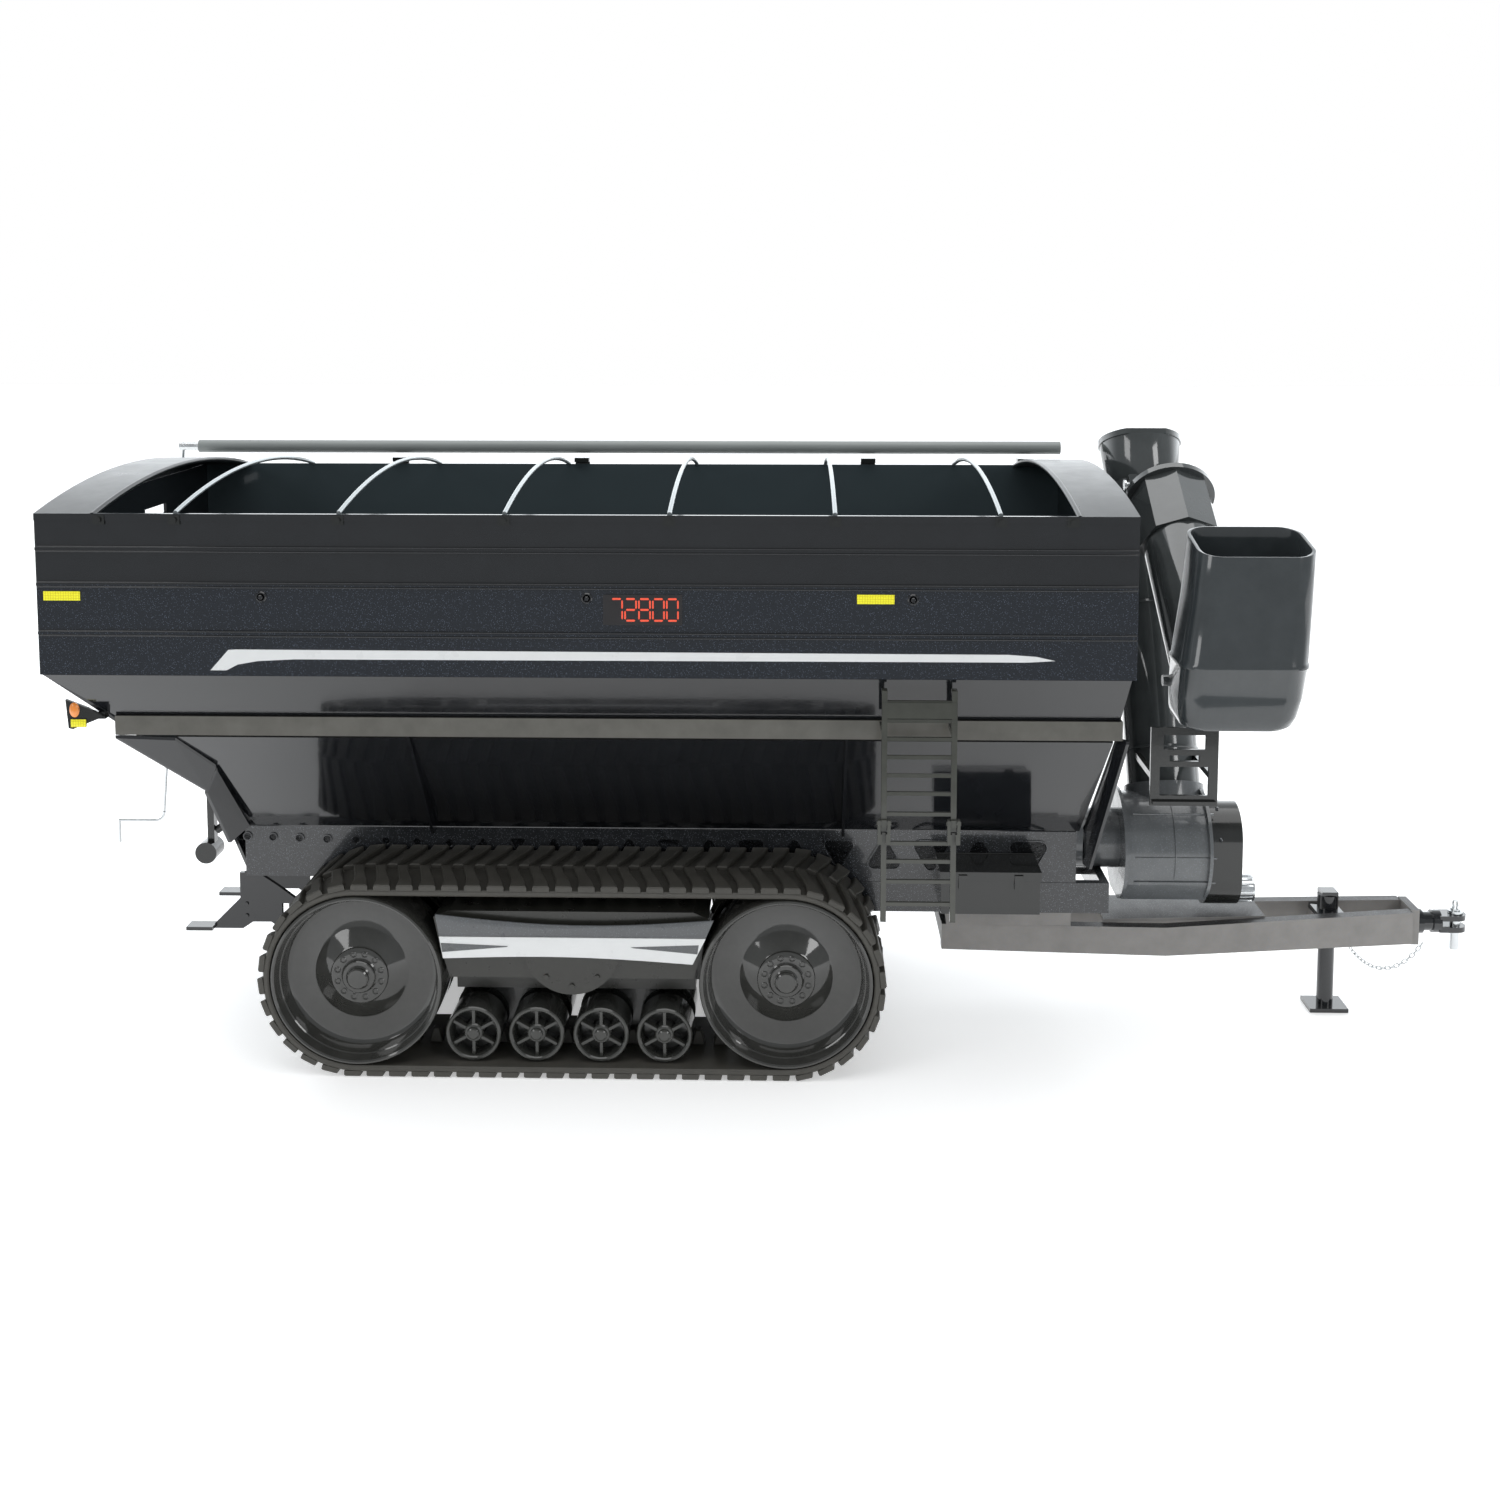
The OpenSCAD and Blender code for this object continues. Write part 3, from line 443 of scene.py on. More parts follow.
BLACK = (0.010, 0.011, 0.013)
FINISHES = {
    "gloss_black": finish("gloss_black", BLACK, 0.10, spread=0.03, coat=0.5, dust=0.03),
    "panel_black": finish("panel_black", BLACK, 0.08, spread=0.02, coat=0.4, dust=0.02,
                          paint=flaked_band_and_painted_reflection),
    "flake_black": finish("flake_black", (0.022, 0.024, 0.027), 0.2, flake=0.10, coat=0.6, dust=0.04),
    # The tongue's light grey is a painted reflection of the bright floor on its sides, over its flake; dark_on_top
    # paints its upper faces dark.
    "tongue_flake_painted_reflection": finish("tongue_flake_painted_reflection", (0.24, 0.228, 0.216), 0.4, flake=0.14, dust=0.05,
                           paint=dark_on_top),
    # The boot's grey is a painted reflection of the bright floor; its flake is the paint's own.
    "boot_flake_painted_reflection": finish("boot_flake_painted_reflection", (0.115, 0.122, 0.127), 0.24, flake=0.10, coat=0.5, dust=0.04),
    # The sills' grey is a painted reflection of something bright on their bevels.
    "sill_painted_reflection": finish("sill_painted_reflection", (0.125, 0.120, 0.105), 0.2, coat=0.3, dust=0.03),
    "cap_black": finish("cap_black", (0.012, 0.014, 0.015), 0.3, spread=0.04, dust=0.01),
    "black_plastic": finish("black_plastic", (0.014, 0.015, 0.014), 0.16, spread=0.04, coat=0.3,
                            scale=140, dust=0.05),
    "ladder_black": finish("ladder_black", (0.045, 0.047, 0.038), 0.2, coat=0.3, scale=140, dust=0.03),
    "spout_black": finish("spout_black", (0.036, 0.042, 0.045), 0.13, spread=0.03, coat=0.5, dust=0.02),
    "tube_black": finish("tube_black", (0.050, 0.056, 0.057), 0.12, spread=0.03, coat=0.8, dust=0.02),
    "frame_black": finish("frame_black", (0.030, 0.030, 0.026), 0.3, coat=0.1, scale=140, dust=0.03),
    "wheel_grey": finish("wheel_grey", (0.036, 0.036, 0.033), 0.08, spread=0.02, coat=0.6, scale=140,
                         dust=0.02),
    "roller_grey": finish("roller_grey", (0.045, 0.046, 0.042), 0.14, spread=0.03, coat=0.3, scale=140,
                          dust=0.02),
    "belt_rubber": finish("belt_rubber", (0.058, 0.055, 0.047), 0.5, vary=0.3, scale=160, bump=0.06,
                          dust=0.08, rub=0.34, rub_tone=(0.105, 0.100, 0.090)),
    "bright_steel": finish("bright_steel", (0.62, 0.64, 0.65), 0.24, vary=0.12, metallic=1.0, dust=0.02,
                           scale=300),
    "silver_paint": finish("silver_paint", (0.40, 0.43, 0.44), 0.32, vary=0.1, metallic=0.7, dust=0.02),
    "white_vinyl": finish("white_vinyl", (0.80, 0.81, 0.81), 0.3, vary=0.05, dust=0.01),
    "grey_vinyl": finish("grey_vinyl", (0.10, 0.105, 0.11), 0.3, vary=0.1, flake=0.08, coat=0.3,
                         dust=0.02),
    # The reflector strips' emission is a painted glow.
    "yellow_vinyl": finish("yellow_vinyl", (0.95, 0.88, 0.03), 0.3, vary=0.1, dust=0.0, paint=honeycomb,
                           glow=((0.9, 0.85, 0.05), 0.12)),
    # The lenses' emission is a painted glow.
    "amber_lens_painted_glow": finish("amber_lens_painted_glow", (0.85, 0.27, 0.04), 0.15, vary=0.2, coat=0.8, dust=0.0,
                         glow=((0.9, 0.25, 0.03), 0.15)),
    "display_black": finish("display_black", (0.012, 0.010, 0.011), 0.3, coat=0.5, dust=0.01),
    # The digits' emission is a painted glow.
    "digit_red_painted_glow": finish("digit_red_painted_glow", (0.85, 0.10, 0.05), 0.35, vary=0.15, dust=0.0,
                        glow=((1.0, 0.10, 0.05), 0.25)),
    "tarp_vinyl": finish("tarp_vinyl", (0.24, 0.26, 0.255), 0.34, vary=0.2, scale=60, dust=0.08,
                         bump=0.1, stretch=(0.2, 1.0, 1.0)),
}

NODE_FINISH = {
    "side_panels": "panel_black", "end_caps": "cap_black", "side_sills": "sill_painted_reflection",
    "tarp_bows": "silver_paint", "tongue": "tongue_flake_painted_reflection", "auger_boot": "boot_flake_painted_reflection",
    "lower_tube": "tube_black", "upper_tube": "tube_black",
    "ladder_upper": "ladder_black", "ladder_lower": "ladder_black",
    "track_frame_right": "frame_black", "track_frame_left": "frame_black",
}


def paint_cad_nodes():
    """Each CAD node gets its own finish, or the one its slot is named for."""
    slots = {s["node"]: s["material_slot"] for s in frame["record"]["subparts"]}
    for name, obj in frame["nodes"].items():
        obj.data.materials.clear()
        obj.data.materials.append(FINISHES[NODE_FINISH.get(name, slots[name])])


paint_cad_nodes()


def piece(obj, body, look, smooth=32, stands_for=()):
    """Shades, finishes and hangs a new piece on its body."""
    take(obj)
    bpy.ops.object.shade_smooth_by_angle(angle=math.radians(smooth))
    obj.data.materials.clear()
    obj.data.materials.append(FINISHES[look])
    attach(obj, body)
    if stands_for:
        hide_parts(*stands_for)
    return obj


# ---- tracks ----

WHEELS = {w: centre(f"wheel_{w}_right") for w in ("rear", "front")}
TRACK_Y = -WHEELS["rear"][1]
BASE = WHEELS["front"][0] - WHEELS["rear"][0]
HUB_Z = WHEELS["rear"][2]
BELT_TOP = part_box("belt_right")[1][2] / MM
LUG_H = 2.4
CARCASS_R = BELT_TOP - HUB_Z - LUG_H
CARCASS_T = 2.8
BELT_HALF = 28.5
LUGS = 64


def on_belt(s):
    """The place at distance s round the belt: +X is its travel and +Z points out."""
    arc = math.pi * CARCASS_R
    s %= 2 * (BASE + arc)
    rear, front = WHEELS["rear"], WHEELS["front"]
    if s < BASE:
        return shift(rear[0] + s, 0, HUB_Z) @ shift(0, 0, CARCASS_R)
    if s < BASE + arc:
        return (shift(front[0], 0, HUB_Z) @ turn(math.degrees((s - BASE) / CARCASS_R), "Y")
                @ shift(0, 0, CARCASS_R))
    if s < 2 * BASE + arc:
        return (shift(front[0] - (s - BASE - arc), 0, HUB_Z) @ turn(180, "Y")
                @ shift(0, 0, CARCASS_R))
    angle = 180 + math.degrees((s - 2 * BASE - arc) / CARCASS_R)
    return shift(rear[0], 0, HUB_Z) @ turn(angle, "Y") @ shift(0, 0, CARCASS_R)


def make_carcass():
    """The belt's band: its section pushed and spun once round the wheels."""
    outer, inner, b = CARCASS_R, CARCASS_R - CARCASS_T, BELT_HALF
    section = [(-b + 0.7, inner), (b - 0.7, inner), (b, inner + 0.7), (b, outer - 0.7), (b - 0.7, outer),
               (-b + 0.7, outer), (-b, outer - 0.7), (-b, inner + 0.7)]
    rear, front = WHEELS["rear"], WHEELS["front"]
    obj = drawn("carcass", [(rear[0], y, HUB_Z + r) for y, r in section])
    for hub, way in ((front, 1), (rear, -1)):
        bpy.ops.mesh.extrude_region_move(TRANSFORM_OT_translate={"value": (way * BASE * MM, 0, 0)})
        bpy.ops.mesh.spin(steps=28, angle=-math.pi, axis=(0, 1, 0), dupli=False,
                          center=(hub[0] * MM, 0, hub[2] * MM))
    return sewn(obj)


def make_lug():
    """Half a chevron: it sweeps back from the belt's edge to the centre."""
    rows = [(0.5, -4.6, 2.5), (6, -3.3, 2.4), (13, -1.1, 2.6), (20, 1.0, 3.1), (28.3, 2.3, 3.8)]
    front = [(x + w, -y, -0.3) for y, x, w in rows]
    back = [(x - w, -y, -0.3) for y, x, w in reversed(rows)]
    obj = plate("lug", front + back, (0, 0, LUG_H + 0.25))
    pick(obj, lambda c, n: n.z > 0.9)
    bpy.ops.mesh.inset(thickness=0.5 * MM, depth=0)
    pick(obj, lambda c, n: n.z > 0.5 and c.z > LUG_H - 0.4)
    bpy.ops.object.mode_set(mode="OBJECT")
    crown = {i for f in obj.data.polygons if len(f.vertices) > 4 and f.normal.z > 0.5
             for i in f.vertices}
    for vert in obj.data.vertices:
        if vert.index not in crown and vert.co.z >= 0:
            vert.co.z -= 0.6 * MM
    return obj


def make_guide():
    clear()
    bpy.ops.mesh.primitive_cube_add(size=1, location=(0, 0, -6 * MM),
                                    scale=(6.4 * MM, 6 * MM, 6.8 * MM))
    obj = named(bpy.context.object, "guide")
    bpy.ops.object.transform_apply(location=True, rotation=True, scale=True)
    pick(obj, lambda c, n: n.z < -0.9)
    bpy.ops.transform.resize(value=(0.45, 0.75, 1))
    bpy.ops.object.mode_set(mode="OBJECT")
    return eased(obj, 0.5, 1)


def make_belts():
    pitch = 2 * (BASE + math.pi * CARCASS_R) / LUGS
    lug = make_lug()
    other = lug.copy()
    other.data = lug.data.copy()
    bpy.context.scene.collection.objects.link(other)
    near = copied(lug, [on_belt(i * pitch) for i in range(LUGS)], "lugs_near")
    far = copied(other, [on_belt((i + 0.5) * pitch) @ ACROSS for i in range(LUGS)], "lugs_far")
    guides = copied(make_guide(), [on_belt(i * pitch) for i in range(LUGS)], "guides")
    belt = joined([make_carcass(), near, far, guides], "belt_loop")
    twin = belt.copy()
    twin.data = belt.data.copy()
    bpy.context.scene.collection.objects.link(twin)
    for obj, (side, way) in zip((belt, twin), SIDES.items()):
        obj.data.transform(shift(0, way * TRACK_Y, 0) @ (STAY if way < 0 else ACROSS))
        if way > 0:
            obj.data.flip_normals()
        piece(named(obj, f"rubber_belt_{side}"), f"track_{side}", "belt_rubber",
              stands_for=[f"belt_{side}"])


def make_wheels():
    """A wheel is two turned halves on a hub, with a ring of bolt sockets on each face."""
    profile = [(0, 0), (5, 0), (5, 3.6), (14, 3.6), (14, 12), (30, 14), (35.2, 7.4), (38.6, 4.2),
               (39.4, 5), (39.4, 27.5), (39.0, 28.3), (38.2, 28.5), (37.5, 28.1), (37.1, 27.0),
               (36.2, 24.2), (35.7, 23.8), (34.9, 19.4), (34.2, 17.8), (33.2, 17.2), (32.2, 17.0),
               (21.9, 16.9), (21.1, 17.2), (20.5, 17.7), (13.8, 20.4), (13.2, 20.8), (12.9, 21.6),
               (12.3, 21.9), (8.2, 21.9), (7.6, 22.4), (7.5, 23.6), (7.1, 24.0), (5.6, 24.1),
               (5.0, 24.6), (4.8, 25.9), (4.2, 26.4), (0, 26.6)]
    half = turned("half", profile, (0, 0, 0), "Y", 72)
    nut = turned("nut", [(0.8, 21.6), (1.5, 21.6), (1.5, 22.0), (1.25, 22.2), (1.0, 22.1), (0.8, 21.8)],
                 (0, 0, 0), "Y", 14, True)
    nuts = copied(nut, [turn(30 * i + 15, "Y") @ shift(10.3, 0, 0) for i in range(12)], "nuts")
    half = joined([half, nuts], "half")
    for side, way in SIDES.items():
        for where in ("rear", "front"):
            twin = half.copy()
            twin.data = half.data.copy()
            bpy.context.scene.collection.objects.link(twin)
            body = f"wheel_{where}_{side}"
            at = shift(WHEELS[where][0], way * TRACK_Y, HUB_Z)
            whole = copied(twin, [at, at @ ACROSS], f"disc_{where}_{side}")
            piece(whole, body, "wheel_grey", stands_for=[body], smooth=28)
    bpy.data.objects.remove(half)


def make_rollers():
    """A roller is two dished rims with six ribs between rim and hub."""
    radius = (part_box("roller_1_right")[1][2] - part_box("roller_1_right")[0][2]) / 2 / MM
    rim = [(0, 0), (2.5, 0), (2.5, 3.6), (4, 3.6), (4, 8), (9, 8), (radius - 0.6, 5), (radius, 5.6),
           (radius, 22.6), (radius - 0.5, 23.1), (11.3, 23.1), (10.8, 22.6), (10.3, 15.0), (9.8, 14.2),
           (4.8, 14.2), (4.4, 14.8), (4.3, 21.6), (3.8, 22.2), (3.0, 22.4), (2.7, 23.4), (2.1, 23.8),
           (0, 23.8)]
    half = turned("half", rim, (0, 0, 0), "Y", 48)
    rib = block("rib", (3.9, 13, -0.75), (10.7, 21.8, 0.75), 0.3)
    ribs = copied(rib, [turn(60 * i + 30, "Y") for i in range(6)], "ribs")
    half = joined([half, ribs], "half")
    for side, way in SIDES.items():
        for i in range(1, 5):
            twin = half.copy()
            twin.data = half.data.copy()
            bpy.context.scene.collection.objects.link(twin)
            body = f"roller_{i}_{side}"
            spot = centre(body)
            at = shift(spot[0], way * TRACK_Y, spot[2])
            whole = copied(twin, [at, at @ ACROSS], f"mid_{body}")
            piece(whole, body, "roller_grey", stands_for=[body], smooth=28)
    bpy.data.objects.remove(half)


make_belts()
make_wheels()
make_rollers()


def arc_points(cx, cz, r, start, end, n):
    """Points on a circle from one angle to another, in the XZ plane."""
    return [(cx + r * math.cos(math.radians(start + (end - start) * i / n)),
             cz + r * math.sin(math.radians(start + (end - start) * i / n))) for i in range(n + 1)]


def make_track_covers():
    """The pale strip on each track frame and its dark end wedges."""
    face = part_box("track_frame_right")[0][1] / MM
    top = [(station(166.4 + 126 * t / 10), 76.6 - 0.18 * t - 3.8 * math.sin(math.pi * t / 10))
           for t in range(11)]
    bottom = [(station(282.8 - 113 * t / 10), 54.2 + 0.19 * t + 2.0 * math.sin(math.pi * t / 10))
              for t in range(11)]
    y0 = face + 0.2
    parts = {
        "upper": (top + [(station(288.8), 66.5), (station(168.1), 66.5)], "grey_vinyl", 0.0),
        "lower": ([(station(168.1), 66.3), (station(288.8), 66.3)] + bottom, "white_vinyl", 0.2),
    }
    for side, way in SIDES.items():
        body = f"track_{side}"
        for name, (outline, look, lift) in parts.items():
            obj = plate("strip", [(x, y0, z) for x, z in outline], (0, -0.9 - lift, 0))
            obj = copied(eased(obj, 0.25), [STAY if way < 0 else ACROSS], f"strip_{name}_{side}")
            piece(obj, body, look)
        wedges = []
        for x, flip in ((169.6, 1), (285.0, -1)):
            outline = [(station(x), 59.2), (station(x + 29 * flip), 61.8),
                       (station(x + 30 * flip), 62.2), (station(x - 0.6 * flip), 63.4)]
            wedges.append(plate("wedge", [(px, y0 - 1.1, z) for px, z in outline], (0, -0.15, 0)))
        obj = copied(joined(wedges, "wedges"), [STAY if way < 0 else ACROSS], f"strip_wedges_{side}")
        piece(obj, body, "grey_vinyl")


make_track_covers()


# ---- bin details ----

def make_ribs():
    """Each pressed rib reads as two fine raised lines."""
    line = block("line", (station(0.4), -0.35, -0.3), (station(474.6), 0.35, 0.3), 0.15)
    moves = [shift(0, way * (SIDE + 0.45), z + dz) for z in (245.6, 230.1, 208.7) for dz in (-1.0, 1.0)
             for way in (-1, 1)]
    piece(copied(line, moves, "panel_ribs"), "chassis", "gloss_black")


def make_stripe():
    """The decal stripe with its pointed ends."""
    top = [(75, 192.6), (83, 201.6), (86, 201.8), (420, 201.2), (432, 200.4), (440, 198.6), (428, 197.9),
           (112, 197.6), (96, 196.8), (87, 195.2), (82, 192.6)]
    obj = plate("stripe", [(station(d), -SIDE - 0.02, z) for d, z in top], (0, -0.26, 0))
    piece(copied(obj, BOTH, "stripe_decal"), "chassis", "white_vinyl", stands_for=["side_stripes"])


SEGMENTS = {"a": ((0.6, 9.6), (5.4, 9.6)), "b": ((5.9, 9.1), (5.9, 5.3)), "c": ((5.9, 4.5), (5.9, 0.7)),
            "d": ((0.6, 0.2), (5.4, 0.2)), "e": ((0.1, 4.5), (0.1, 0.7)), "f": ((0.1, 9.1), (0.1, 5.3)),
            "g": ((0.6, 4.9), (5.4, 4.9))}
DIGITS = {"7": "abc", "2": "abged", "8": "abcdefg", "0": "abcdef"}


def make_digits(reading="72800"):
    """The weigh display's segments, given a painted glow."""
    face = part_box("weigh_display")[0][1] / MM
    x0, z0, parts = station(249.4), 215.2, []
    for k, digit in enumerate(reading):
        for key in DIGITS[digit]:
            (ax, az), (bx, bz) = SEGMENTS[key]
            half = 0.42
            if az == bz:
                outline = [(ax, az), (ax + half, az + half), (bx - half, bz + half), (bx, bz),
                           (bx - half, bz - half), (ax + half, az - half)]
            else:
                outline = [(ax, az), (ax + half, az - half), (bx + half, bz + half), (bx, bz),
                           (bx - half, bz + half), (ax - half, az - half)]
            parts.append(plate("segment", [(x0 + (x * 0.82 + k * 6.0), face + 0.1, z0 + z)
                                           for x, z in outline], (0, -0.3, 0)))
    piece(joined(parts, "display_digits"), "chassis", "digit_red_painted_glow")


def make_bosses():
    """Three bolted bosses on each side panel."""
    boss = turned("boss", [(0, 0.2), (2.4, 0.2), (2.4, -0.5), (2.0, -0.9), (0, -0.9)],
                  (0, 0, 0), "Y", 24)
    head = turned("head", [(0, -0.8), (1.1, -0.8), (1.1, -1.6), (0.8, -1.9), (0, -1.9)],
                  (0, 0, 0), "Y", 6)
    obj = joined([boss, head], "boss")
    moves = [side @ shift(station(d), -SIDE, 225) for d in (98, 239, 379) for side in BOTH]
    piece(copied(obj, moves, "panel_bosses"), "chassis", "gloss_black")


def rounded_triangle(size, up):
    h = size * 0.86
    points = []
    for a, (cx, cz) in zip((90, 210, 330), ((0, h / 2), (-size / 2, -h / 2), (size / 2, -h / 2))):
        r = size * 0.2
        mx, mz = cx * 0.62, cz * 0.62
        points += arc_points(mx, mz, r, a - 60, a + 60, 4)
    return [(x, z if up else -z) for x, z in points]


def make_rail_marks():
    """Marks pressed along the rails: round at the rear, then turning triangles."""
    parts = []
    for i in range(22):
        d, z = 63.3 + 12.1 * i + 0.28 * i * i, 92.9 - 0.37 * i
        if i < 8:
            outline = arc_points(0, 0, 2.2 + 0.04 * i, 0, 345, 23)
        else:
            outline = rounded_triangle(7.2 + 0.87 * (i - 8), i % 2 == 0)
            if i % 2 == 0:
                outline.reverse()
        obj = plate("mark", [(station(d) + x, -29.2, z + zz) for x, zz in outline], (0, -0.9, 0))
        pick(obj, lambda c, n: n.y < -0.9)
        bpy.ops.mesh.inset(thickness=0.55 * MM, depth=0)
        bpy.ops.mesh.inset(thickness=0.3 * MM, depth=-0.7 * MM)
        bpy.ops.object.mode_set(mode="OBJECT")
        parts.append(obj)
    piece(copied(joined(parts, "marks"), BOTH, "rail_marks"), "chassis", "flake_black")


def make_lamps():
    """Oval amber lenses and yellow strips on the rear lamp plates."""
    lens = turned("lens", [(0, 0.2), (2.6, 0.2), (2.7, -0.3), (2.2, -0.9), (1.2, -1.3), (0, -1.4)],
                  (0, 0, 0), "Y", 28)
    lens.data.transform(Matrix.Diagonal((0.85, 1, 1.25, 1)))
    moves = [side @ shift(station(9), -94.6, 171.4) for side in BOTH]
    piece(copied(lens, moves, "lamp_lenses"), "chassis", "amber_lens_painted_glow")
    strip = block("strip", (station(7.2), -95.1, 163.6), (station(14.2), -94.4, 167.2), 0.2)
    piece(copied(strip, BOTH, "lamp_reflectors"), "chassis", "yellow_vinyl")


def make_bolts():
    """Bolt heads round the boot's front flange and down the drive cover's edges."""
    def head(r=1.1, h=1.2):
        return turned("bolt", [(0, 0), (r, 0), (r, h * 0.7), (r * 0.7, h), (0, h)], (0, 0, 0), "X", 6)
    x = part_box("auger_boot")[1][0] / MM
    circle = 26.2
    moves = [shift(x, circle * math.cos(a), BOOT_Z + circle * math.sin(a)) @ turn(15, "X")
             for a in (math.radians(20 + 35 * k) for k in range(5))]
    piece(copied(head(), moves, "boot_bolts"), "chassis", "flake_black")
    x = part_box("drive_cover")[1][0] / MM
    moves = [shift(x - 0.1, y, z) for y in (-11.5, 11.5) for z in (66, 78, 92)]
    piece(copied(head(0.9, 0.9), moves, "cover_bolts"), "chassis", "black_plastic")


def joint_at(name):
    """A joint's place, in metres."""
    return [j for j in frame["joints"] if j["name"] == name][0]["pos_m"]


BOOT_Z = 84
TUBE_LEAN = 25
TUBE_LENGTH = 212.0


def make_tube_flare():
    """The lower tube widens to its flange, and has three raised bands."""
    top = TUBE_LENGTH
    flare = turned("flare", [(18.05, top - 26), (18.6, top - 25), (21.2, top - 3.4), (21.2, top - 3),
                             (18.0, top - 3), (18.0, top - 25)], (0, 0, 0), "Z", 48, True)
    bands = [turned("band", [(18.0, h), (18.7, h), (18.9, h + 0.5), (18.7, h + 1.6), (18.0, h + 1.6)],
                    (0, 0, 0), "Z", 48, True) for h in (44.0, 118.0, top - 52)]
    obj = joined([flare] + bands, "tube_flare")
    obj.data.transform(Matrix.Translation(joint_at("lower_screw_spin")) @ turn(-TUBE_LEAN, "X"))
    piece(obj, "chassis", "tube_black")


def make_boot_seams():
    """Raised seams along the boot and round its middle."""
    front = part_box("auger_boot")[1][0] / MM
    x0, x1 = front - 40.4, front - 1.2
    parts = []
    for z, y in ((BOOT_Z + 19, -16.4), (BOOT_Z, -25.0), (BOOT_Z - 13, -22.6)):
        parts.append(block("seam", (x0, y - 0.45, z - 0.4), (x1, y + 0.6, z + 0.4), 0.15))
    ring = turned("ring", [(24.9, -0.5), (25.6, -0.35), (25.6, 0.35), (24.9, 0.5)],
                  ((x0 + x1) / 2, 0, BOOT_Z), "X", 64, True)
    piece(joined(parts + [ring], "boot_seams"), "chassis", "boot_flake_painted_reflection")


def make_splines():
    """Splines round the PTO stub."""
    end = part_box("pto_shaft")[1][0] / MM
    height = joint_at("pto_spin")[2] / MM
    tooth = block("tooth", (0.4, -0.7, 5.9), (8.2, 0.7, 6.75), 0.2)
    moves = [shift(end - 9, 0, height) @ turn(30 * i, "X") for i in range(12)]
    piece(copied(tooth, moves, "pto_splines"), "pto_input", "bright_steel")


make_tube_flare()
make_boot_seams()
make_splines()
make_ribs()
make_stripe()
make_digits()
make_bosses()
make_rail_marks()
make_lamps()
make_bolts()


# ---- spout ----

SPOUT_Y = -99
SPOUT_CORNER = 10
SPOUT_SLANT = 12.5


def make_spout():
    """An oblong shell, drawn down ring by ring, cut at a slant and opened for the tube.

    A ring is (station, length, width, height).
    """
    rings = [(524, 50.0, 36.0, 256.0), (524, 50.2, 36.2, 248.0), (522.6, 51.6, 37.2, 226.0),
             (520.2, 53.9, 38.2, 199.4), (520.1, 55.0, 39.0, 198.6), (520.0, 55.0, 39.0, 197.0),
             (519.9, 54.0, 38.2, 196.4), (518.8, 52.6, 37.8, 184.0), (517.8, 50.4, 36.8, 176.0),
             (517.2, 47.6, 34.8, 172.0), (517.0, 43.0, 31.0, 170.2)]
    clear()
    bpy.ops.mesh.primitive_circle_add(vertices=64, radius=SPOUT_CORNER, fill_type="NOTHING",
                                      rotation=(0, 0, math.pi / 64))
    bpy.ops.object.transform_apply(location=True, rotation=True, scale=True)
    obj = named(bpy.context.object, "shell")
    d, length, width, z = rings[0]
    for vert in obj.data.vertices:
        x = vert.co.x + math.copysign(length / 2 - SPOUT_CORNER, vert.co.x)
        y = vert.co.y + math.copysign(width / 2 - SPOUT_CORNER, vert.co.y)
        vert.co = Vector((station(d) + x, SPOUT_Y + y, z)) * MM
    take(obj)
    bpy.ops.object.mode_set(mode="EDIT")
    bpy.ops.mesh.select_mode(type="EDGE")
    bpy.ops.mesh.select_all(action="SELECT")
    for (d0, l0, w0, z0), (d1, l1, w1, z1) in zip(rings, rings[1:]):
        bpy.ops.mesh.extrude_region_move(
            TRANSFORM_OT_translate={"value": Vector((d1 - d0, 0, z1 - z0)) * MM})
        bpy.ops.transform.resize(value=(l1 / l0, w1 / w0, 1),
                                 center_override=Vector((station(d1), SPOUT_Y, z1)) * MM)
    bpy.ops.mesh.edge_face_add()
    bpy.ops.mesh.select_all(action="SELECT")
    bpy.ops.mesh.normals_make_consistent(inside=False)
    slant = math.radians(SPOUT_SLANT)
    bpy.ops.mesh.bisect(plane_co=Vector((station(524), -100, 249.2)) * MM,
                        plane_no=(0, -math.sin(slant), math.cos(slant)), clear_outer=True)
    bpy.ops.object.mode_set(mode="OBJECT")
    use(obj, "SOLIDIFY", thickness=1.5 * MM, offset=-1, use_even_offset=True)
    clear()
    bpy.ops.mesh.primitive_cylinder_add(vertices=96, radius=29 * MM, depth=37.4 * MM,
                                        location=joint_at("spout_tilt"), rotation=(0, math.pi / 2, 0))
    cutter = bpy.context.object
    use(obj, "BOOLEAN", operation="DIFFERENCE", object=cutter, solver="EXACT")
    bpy.data.objects.remove(cutter)
    eased(obj, 0.35, 2, 50)
    piece(named(obj, "spout_shell"), "spout", "spout_black", stands_for=["spout"],
          smooth=40)


make_spout()


# ---- room and light ----

# Each softbox: name, place, size and power; all of them face the cart.
LIGHTS = [("overhead", (0, -0.1, 1.5), 1.6, 16),
          ("front_left", (-1.4, -1.2, 1.0), 0.6, 4),
          ("front_right", (1.3, -1.4, 0.9), 0.5, 4)]
FLOOR_X, FLOOR_Y, FLOOR_MIDDLE = 8, 6, 2.45


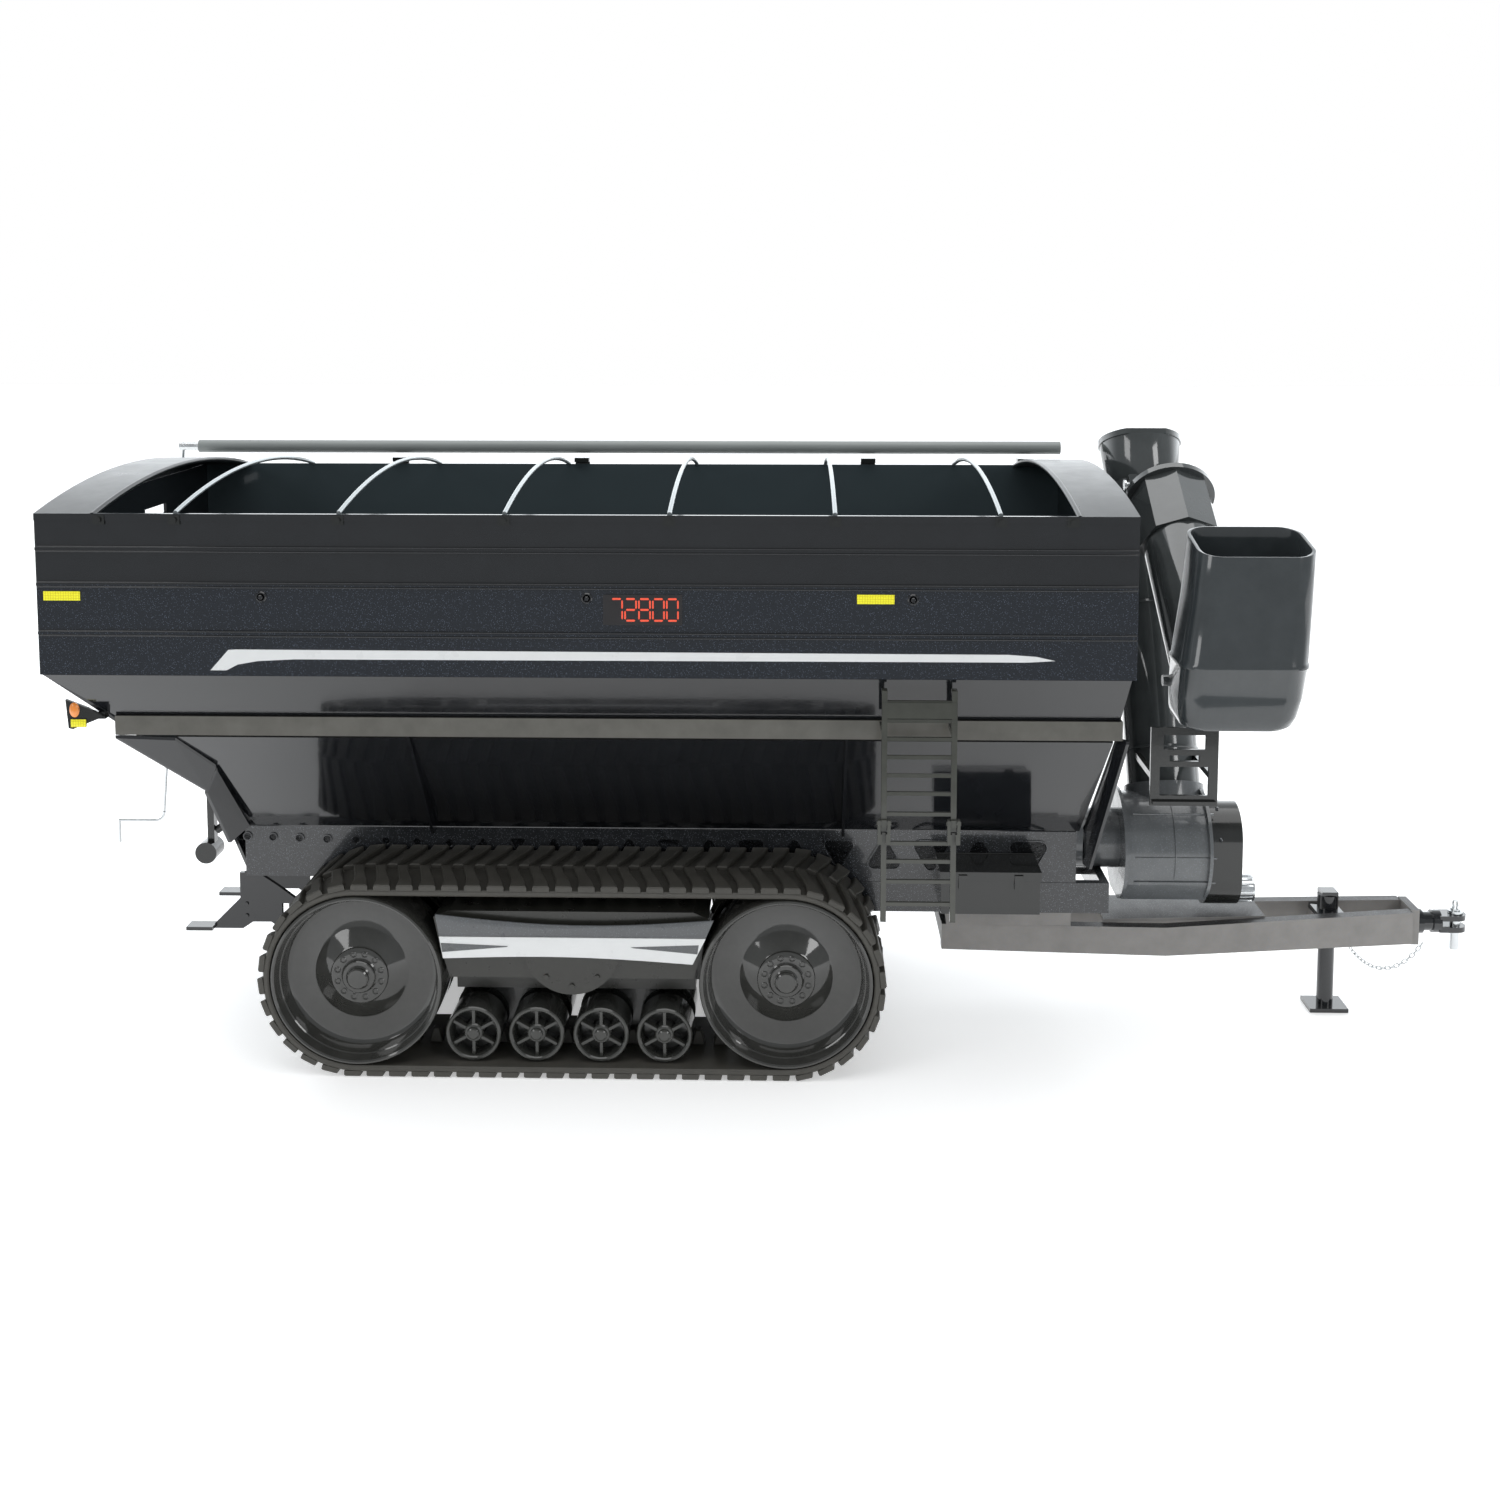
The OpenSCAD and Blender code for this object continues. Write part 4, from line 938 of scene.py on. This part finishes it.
def make_room():
    """A pale floor that ends half a metre in front of the cart, and a tent, brighter behind."""
    clear()
    bpy.ops.mesh.primitive_plane_add(size=1, location=(0, FLOOR_MIDDLE, -0.0002))
    bpy.ops.transform.resize(value=(FLOOR_X, FLOOR_Y, 1))
    floor = named(bpy.context.object, "floor")
    bpy.ops.object.transform_apply(location=True, rotation=True, scale=True)
    mat = bpy.data.materials.new("floor_white")
    mat.use_nodes = True
    shader = mat.node_tree.nodes["Principled BSDF"]
    shader.inputs["Base Color"].default_value = (0.97, 0.97, 0.97, 1)
    shader.inputs["Roughness"].default_value = 0.55
    shader.inputs["Emission Color"].default_value = (1, 1, 1, 1)
    shader.inputs["Emission Strength"].default_value = 0.4
    floor.data.materials.append(mat)
    world = bpy.data.worlds.new("tent")
    bpy.context.scene.world = world
    world.use_nodes = True
    tree = world.node_tree
    background = tree.nodes["Background"]
    way = node(tree, "SeparateXYZ", {0: node(tree, "TexCoord").outputs["Generated"]})
    behind = node(tree, "MapRange", {0: way.outputs[1], 1: -0.15, 2: 0.55, 3: 0.5, 4: 2.2},
                  interpolation_type="SMOOTHSTEP").outputs[0]
    high = node(tree, "MapRange", {0: way.outputs[2], 1: 0.25, 2: 0.8, 3: 1.0, 4: 0.45},
                interpolation_type="SMOOTHSTEP").outputs[0]
    seen = node(tree, "LightPath").outputs["Is Camera Ray"]
    tree.links.new(blend_colour(tree, seen, (0.93, 0.97, 1.0), (1, 1, 1)), background.inputs["Color"])
    strength = maths(tree, "MULTIPLY", behind, high)
    unseen = maths(tree, "MULTIPLY", strength, maths(tree, "SUBTRACT", 1.0, seen))
    tree.links.new(maths(tree, "ADD", unseen, seen), background.inputs["Strength"])
    bpy.context.scene.view_settings.view_transform = "Standard"
    for name, at, size, power in LIGHTS:
        data = bpy.data.lights.new(name, "AREA")
        data.energy, data.size = power, size
        lamp = bpy.data.objects.new(name, data)
        lamp.location = at
        lamp.rotation_euler = (-Vector(at)).to_track_quat("-Z", "Y").to_euler()
        bpy.context.scene.collection.objects.link(lamp)


make_room()
clear()
